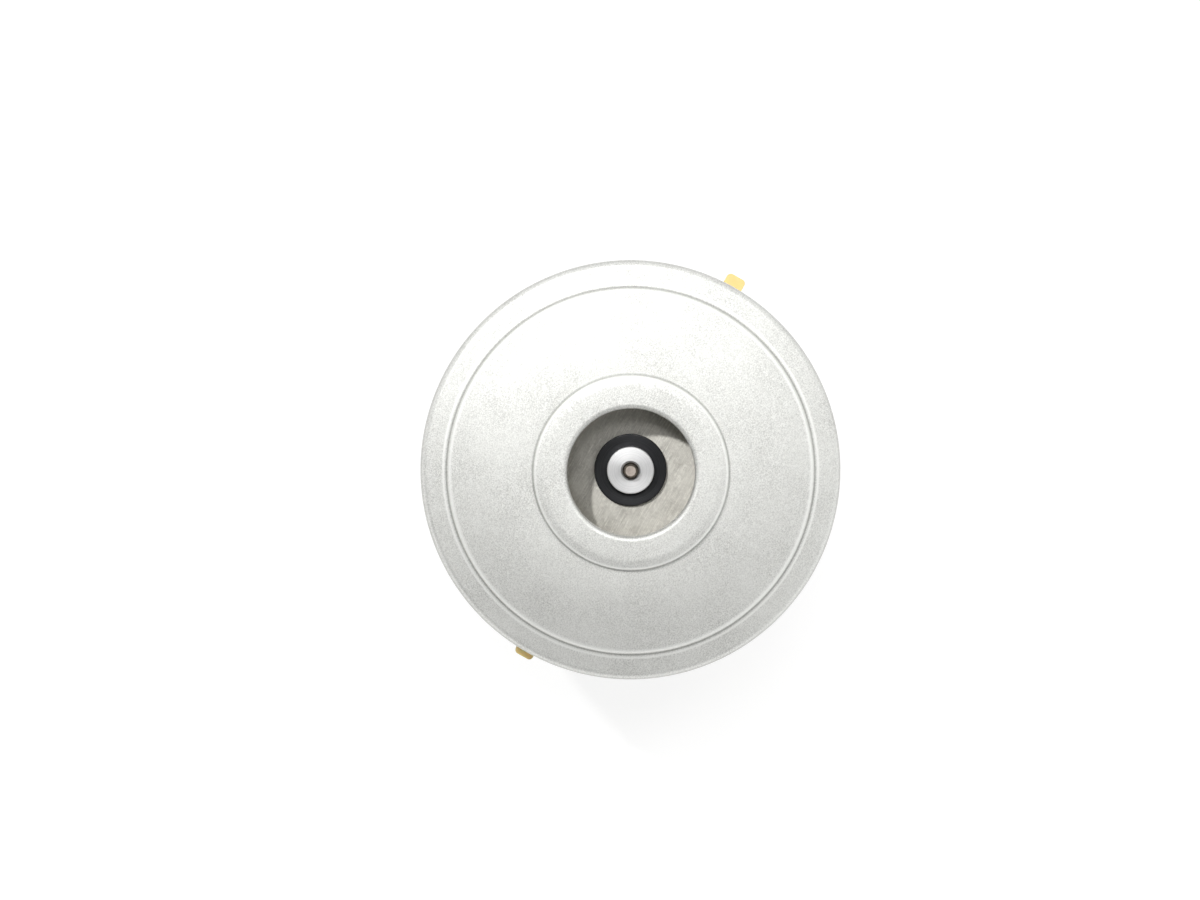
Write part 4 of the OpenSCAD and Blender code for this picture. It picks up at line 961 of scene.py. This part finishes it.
def end_turn(slot, layer, lane):
    """One wire across the armature's head: out of a slot, round the shaft and down into another."""
    points = []
    step_deg = 360 / SLOT_COUNT
    out_r = HEAD_OUT_R - LANE_OUT * lane
    in_r = HEAD_IN_R + LANE_IN * lane
    crest = HEAD_LOW + HEAD_CLIMB * DIVE_AT
    for k in range(HEAD_STEPS + 1):
        t = k / HEAD_STEPS
        sweep = t * t * (3 - 2 * t)
        angle = math.radians(step_deg * (slot + COIL_SPAN * sweep))
        r = out_r - (out_r - in_r) * math.sin(math.pi * t) ** HEAD_FULLNESS
        rise = HEAD_LOW + HEAD_CLIMB * t if t < DIVE_AT else crest * (1 - t) / (1 - DIVE_AT)
        z = rise + LAYER_RISE * layer * math.sin(math.pi * t)
        points.append((r * math.cos(angle), r * math.sin(angle), z))
    first, last = points[0], points[-1]
    return [(first[0], first[1], -WIRE_DIP), *points, (last[0], last[1], -WIRE_DIP)]


def armature_winding():
    """Wires over both heads of the armature, in its slots and down to the commutator."""
    bundle = Bundle()
    radius = WIRE_D / 2
    for slot in range(SLOT_COUNT):
        for layer, lane in HEAD_WIRES:
            path = end_turn(slot, layer, lane)
            upper = [(x, y, CORE_TOP + DISC_T + z) for x, y, z in path]
            lower = [(x, -y, CORE_LOW - DISC_T - z) for x, y, z in path]
            bundle.add(tube(upper, radius, WIRE_SIDES))
            bundle.add(tube(lower, radius, WIRE_SIDES))
        turn = Matrix.Rotation(2 * math.pi * slot / SLOT_COUNT, 3, "Z")
        for r, fill in SLOT_FILLS:
            ends = [turn @ Vector((r, 0, z)) for z in (CORE_LOW - DISC_T, CORE_TOP + DISC_T)]
            bundle.add(tube(ends, fill, FILL_SIDES))
        side = Matrix.Rotation(2 * math.pi * (slot + 0.5) / SLOT_COUNT, 3, "Z")
        riser = smooth_route([side @ Vector((r, 0, z)) for r, z in RISER], RISER_STEPS)
        bundle.add(tube(riser, RISER_R, WIRE_SIDES))
    stands_for(bundle.piece("armature_winding_wire"), "armature_winding")
    for name, at, way in (("upper", CORE_TOP + DISC_T, 1), ("lower", CORE_LOW - DISC_T, -1)):
        outline = rounded([(r, at + way * z) for r, z in HEAD_CORE], HEAD_CORE_RADII, TURNED_STEPS)
        core = turned(f"{name}_winding_core", outline, HEAD_CORE_SEGMENTS)
        core.data.materials.append(finish_of("enamelled_copper"))
        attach(core, "rotor")


armature_winding()


# Brush springs and pigtails between the brushes and their terminals; leads run from the coils to the
# terminals

BRUSH_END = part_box("carbon_brush_a")[1].x / MM
TUBE_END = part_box("brush_tube_a")[1].x / MM
BRUSH_Z = sum(corner.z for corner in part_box("carbon_brush_a")) / 2 / MM
SEAT_GAP = 0.02
SPRING_R = 2.45
SPRING_WIRE = 0.5
SPRING_TURNS = 7
SPRING_STEPS = 24
SPRING_SIDES = 10
PIGTAIL_STRAND = 0.34
PIGTAIL_STRANDS = 3
PIGTAIL_TWISTS = 3
PIGTAIL_SWAY = 0.9
PIGTAIL_STEPS = 48
PIGTAIL_SIDES = 8


def gives_way(piece):
    """Gives the piece its own copy of its mesh."""
    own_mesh(piece)


def brush_spring(side):
    """A coil spring between the brush and its terminal."""
    start, end = BRUSH_END + SEAT_GAP, TUBE_END - SEAT_GAP
    run = end - start - 2 * SPRING_WIRE
    path = [(start, SPRING_R, BRUSH_Z)]
    for i in range(SPRING_TURNS * SPRING_STEPS + 1):
        angle = 2 * math.pi * i / SPRING_STEPS
        x = start + SPRING_WIRE + run * i / (SPRING_TURNS * SPRING_STEPS)
        path.append((x, SPRING_R * math.cos(angle), BRUSH_Z + SPRING_R * math.sin(angle)))
    path.append((end, SPRING_R, BRUSH_Z))
    bundle = Bundle()
    bundle.add(tube(path if side == "a" else half_turn(path), SPRING_WIRE / 2, SPRING_SIDES))
    gives_way(stands_for(bundle.piece(f"brush_spring_{side}_coil"), f"brush_spring_{side}"))


def brush_pigtail(side):
    """Stranded copper from the brush to its terminal, inside the spring."""
    start, run = BRUSH_END + SEAT_GAP, TUBE_END - BRUSH_END - 2 * SEAT_GAP
    bundle = Bundle()
    for strand in range(PIGTAIL_STRANDS):
        path = []
        for i in range(PIGTAIL_STEPS + 1):
            t = i / PIGTAIL_STEPS
            twist = 2 * math.pi * (strand / PIGTAIL_STRANDS + PIGTAIL_TWISTS * t)
            y = PIGTAIL_STRAND * math.cos(twist)
            z = BRUSH_Z + PIGTAIL_SWAY * math.sin(2 * math.pi * t) + PIGTAIL_STRAND * math.sin(twist)
            path.append((start + run * t, y, z))
        bundle.add(tube(path if side == "a" else half_turn(path), PIGTAIL_STRAND, PIGTAIL_SIDES))
    gives_way(stands_for(bundle.piece(f"brush_pigtail_{side}_strands"), f"brush_pigtail_{side}"))


LEAD_D = 2.0
LEAD_SIDES = 16
COIL_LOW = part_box("field_coil_a")[0].z / MM
LEAD_ROUTE = [
    (30, 12.5, COIL_LOW - 0.02), (30, 12.5, COIL_LOW - 1.2), (31, 12.3, COIL_LOW - 2),
    (33.2, 11.8, COIL_LOW - 2.1), (36.5, 10.8, COIL_LOW - 1.7), (40, 8.8, COIL_LOW - 0.8),
    (43.4, 5, COIL_LOW), (45.6, 1.6, COIL_LOW + 0.3), (TUBE_END - 2.02, 0, COIL_LOW + 0.3),
    (TUBE_END - 0.02, 0, COIL_LOW + 0.3),
]


def coil_lead(side):
    """A sleeved lead from a field coil to a brush terminal."""
    route = smooth_route(LEAD_ROUTE if side == "a" else half_turn(LEAD_ROUTE))
    bundle = Bundle()
    bundle.add(tube(route, LEAD_D / 2, LEAD_SIDES))
    stands_for(bundle.piece(f"coil_lead_{side}_sleeve"), f"coil_lead_{side}")


for side in ("a", "b"):
    brush_spring(side)
    brush_pigtail(side)
    coil_lead(side)


# Rigid pieces with their edges broken, as pressing, moulding and turning leave them

EDGE_WIDTHS = {
    "diffuser": 0.3,
    "brush_holder_a": 0.4, "brush_holder_b": 0.4,
    "upper_coil_frame": 0.2, "lower_coil_frame": 0.2,
    "brush_terminal_a": 0.12, "brush_terminal_b": 0.12,
    "supply_terminal_a": 0.12, "supply_terminal_b": 0.12,
    "carbon_brush_a": 0.15, "carbon_brush_b": 0.15,
    "brush_tube_a": 0.1, "brush_tube_b": 0.1,
    "rear_frame": 0.12, "front_bracket": 0.12,
    "frame_screws": 0.15, "stator_screws": 0.15, "brush_screws": 0.12, "diffuser_screws": 0.1,
    "impeller_front_plate": 0,
    "stator_spacers": 0.15,
    "commutator_bars": 0.08, "commutator_hub": 0.15,
}
LUGS_BEYOND = COVER_R + 1
for name, width in EDGE_WIDTHS.items():
    softened(name, width, LUGS_BEYOND if name == "diffuser" else None)


# Stage: a white floor, a soft sky, and three lamps beyond the picture's upper edge

FLOOR_HALF = 6.0
FLOOR_DROP = 0.0001
FLOOR_ROUGH = 0.8
FLOOR_SHEEN = 0.1
FLOOR_COLOUR = (0.32, 0.32, 0.318)
FLOOR_GLOW = 0.76
SKY_LEVELS = ((0.0, 0.05), (0.10, 0.38), (0.24, 1.04), (0.50, 1.0))
SKY_SIDE = UPWARD * -0.5 + PICTURE_UP * 0.11 + PICTURE_RIGHT * 0.08
LAMPS = {
    "key": {"up": 0.37, "right": 0.0, "strength": 0.8, "angle_deg": 18},
    "side": {"up": 0.52, "right": -0.44, "strength": 0.92, "angle_deg": 3},
    "fill": {"up": 0.46, "right": 0.34, "strength": 0.28, "angle_deg": 10},
}


def add_floor():
    """A floor that glows white to the camera and in reflections, and still takes shadows."""
    mesh = bpy.data.meshes.new("floor")
    h = FLOOR_HALF
    mesh.from_pydata([(-h, -h, 0), (h, -h, 0), (h, h, 0), (-h, h, 0)], [], [(0, 1, 2, 3)])
    floor = bpy.data.objects.new("floor", mesh)
    floor.location.z = -FLOOR_DROP
    bpy.context.scene.collection.objects.link(floor)
    material = bpy.data.materials.new("floor_white")
    material.use_nodes = True
    nodes, links = material.node_tree.nodes, material.node_tree.links
    shader = nodes["Principled BSDF"]
    shader.inputs["Roughness"].default_value = FLOOR_ROUGH
    shader.inputs["Base Color"].default_value = (*FLOOR_COLOUR, 1)
    shader.inputs["Specular IOR Level"].default_value = FLOOR_SHEEN
    shader.inputs["Emission Color"].default_value = (1, 1, 1, 1)
    path = nodes.new("ShaderNodeLightPath")
    seen = path.outputs["Is Camera Ray"]
    for ray in ("Is Glossy Ray", "Is Transmission Ray"):
        either = nodes.new("ShaderNodeMath")
        either.operation = "MAXIMUM"
        links.new(seen, either.inputs[0])
        links.new(path.outputs[ray], either.inputs[1])
        seen = either.outputs[0]
    glow = nodes.new("ShaderNodeMath")
    glow.operation = "MULTIPLY"
    glow.inputs[1].default_value = FLOOR_GLOW
    links.new(seen, glow.inputs[0])
    links.new(glow.outputs[0], shader.inputs["Emission Strength"])
    mesh.materials.append(material)


def add_sky():
    """Soft light from all round: dark overhead, bright low down, a little more so at the upper right."""
    world = bpy.data.worlds.new("studio")
    bpy.context.scene.world = world
    world.use_nodes = True
    nodes, links = world.node_tree.nodes, world.node_tree.links
    where = nodes.new("ShaderNodeTexCoord")
    side = nodes.new("ShaderNodeVectorMath")
    side.operation = "DOT_PRODUCT"
    side.inputs[1].default_value = SKY_SIDE
    links.new(where.outputs["Generated"], side.inputs[0])
    shift = nodes.new("ShaderNodeMath")
    shift.inputs[1].default_value = 0.5
    links.new(side.outputs["Value"], shift.inputs[0])
    levels = nodes.new("ShaderNodeValToRGB")
    for _ in SKY_LEVELS[2:]:
        levels.color_ramp.elements.new(0.5)
    for element, (at, level) in zip(levels.color_ramp.elements, SKY_LEVELS):
        element.position = at
        element.color = (level, level, level, 1)
    links.new(shift.outputs[0], levels.inputs["Fac"])
    links.new(levels.outputs["Color"], nodes["Background"].inputs["Color"])
    nodes["Background"].inputs["Strength"].default_value = 1.0


def add_sun(name, up, right, strength, angle_deg):
    """A distant lamp overhead that leans towards the picture's upper and right sides."""
    data = bpy.data.lights.new(name, "SUN")
    data.energy = strength
    data.angle = math.radians(angle_deg)
    sun = bpy.data.objects.new(name, data)
    towards = UPWARD + PICTURE_UP * up + PICTURE_RIGHT * right
    sun.rotation_mode = "QUATERNION"
    sun.rotation_quaternion = towards.to_track_quat("Z", "Y")
    sun.location = towards.normalized()
    bpy.context.scene.collection.objects.link(sun)


add_floor()
add_sky()
for name, lamp in LAMPS.items():
    add_sun(name, **lamp)
bpy.context.scene.view_settings.view_transform = "Standard"
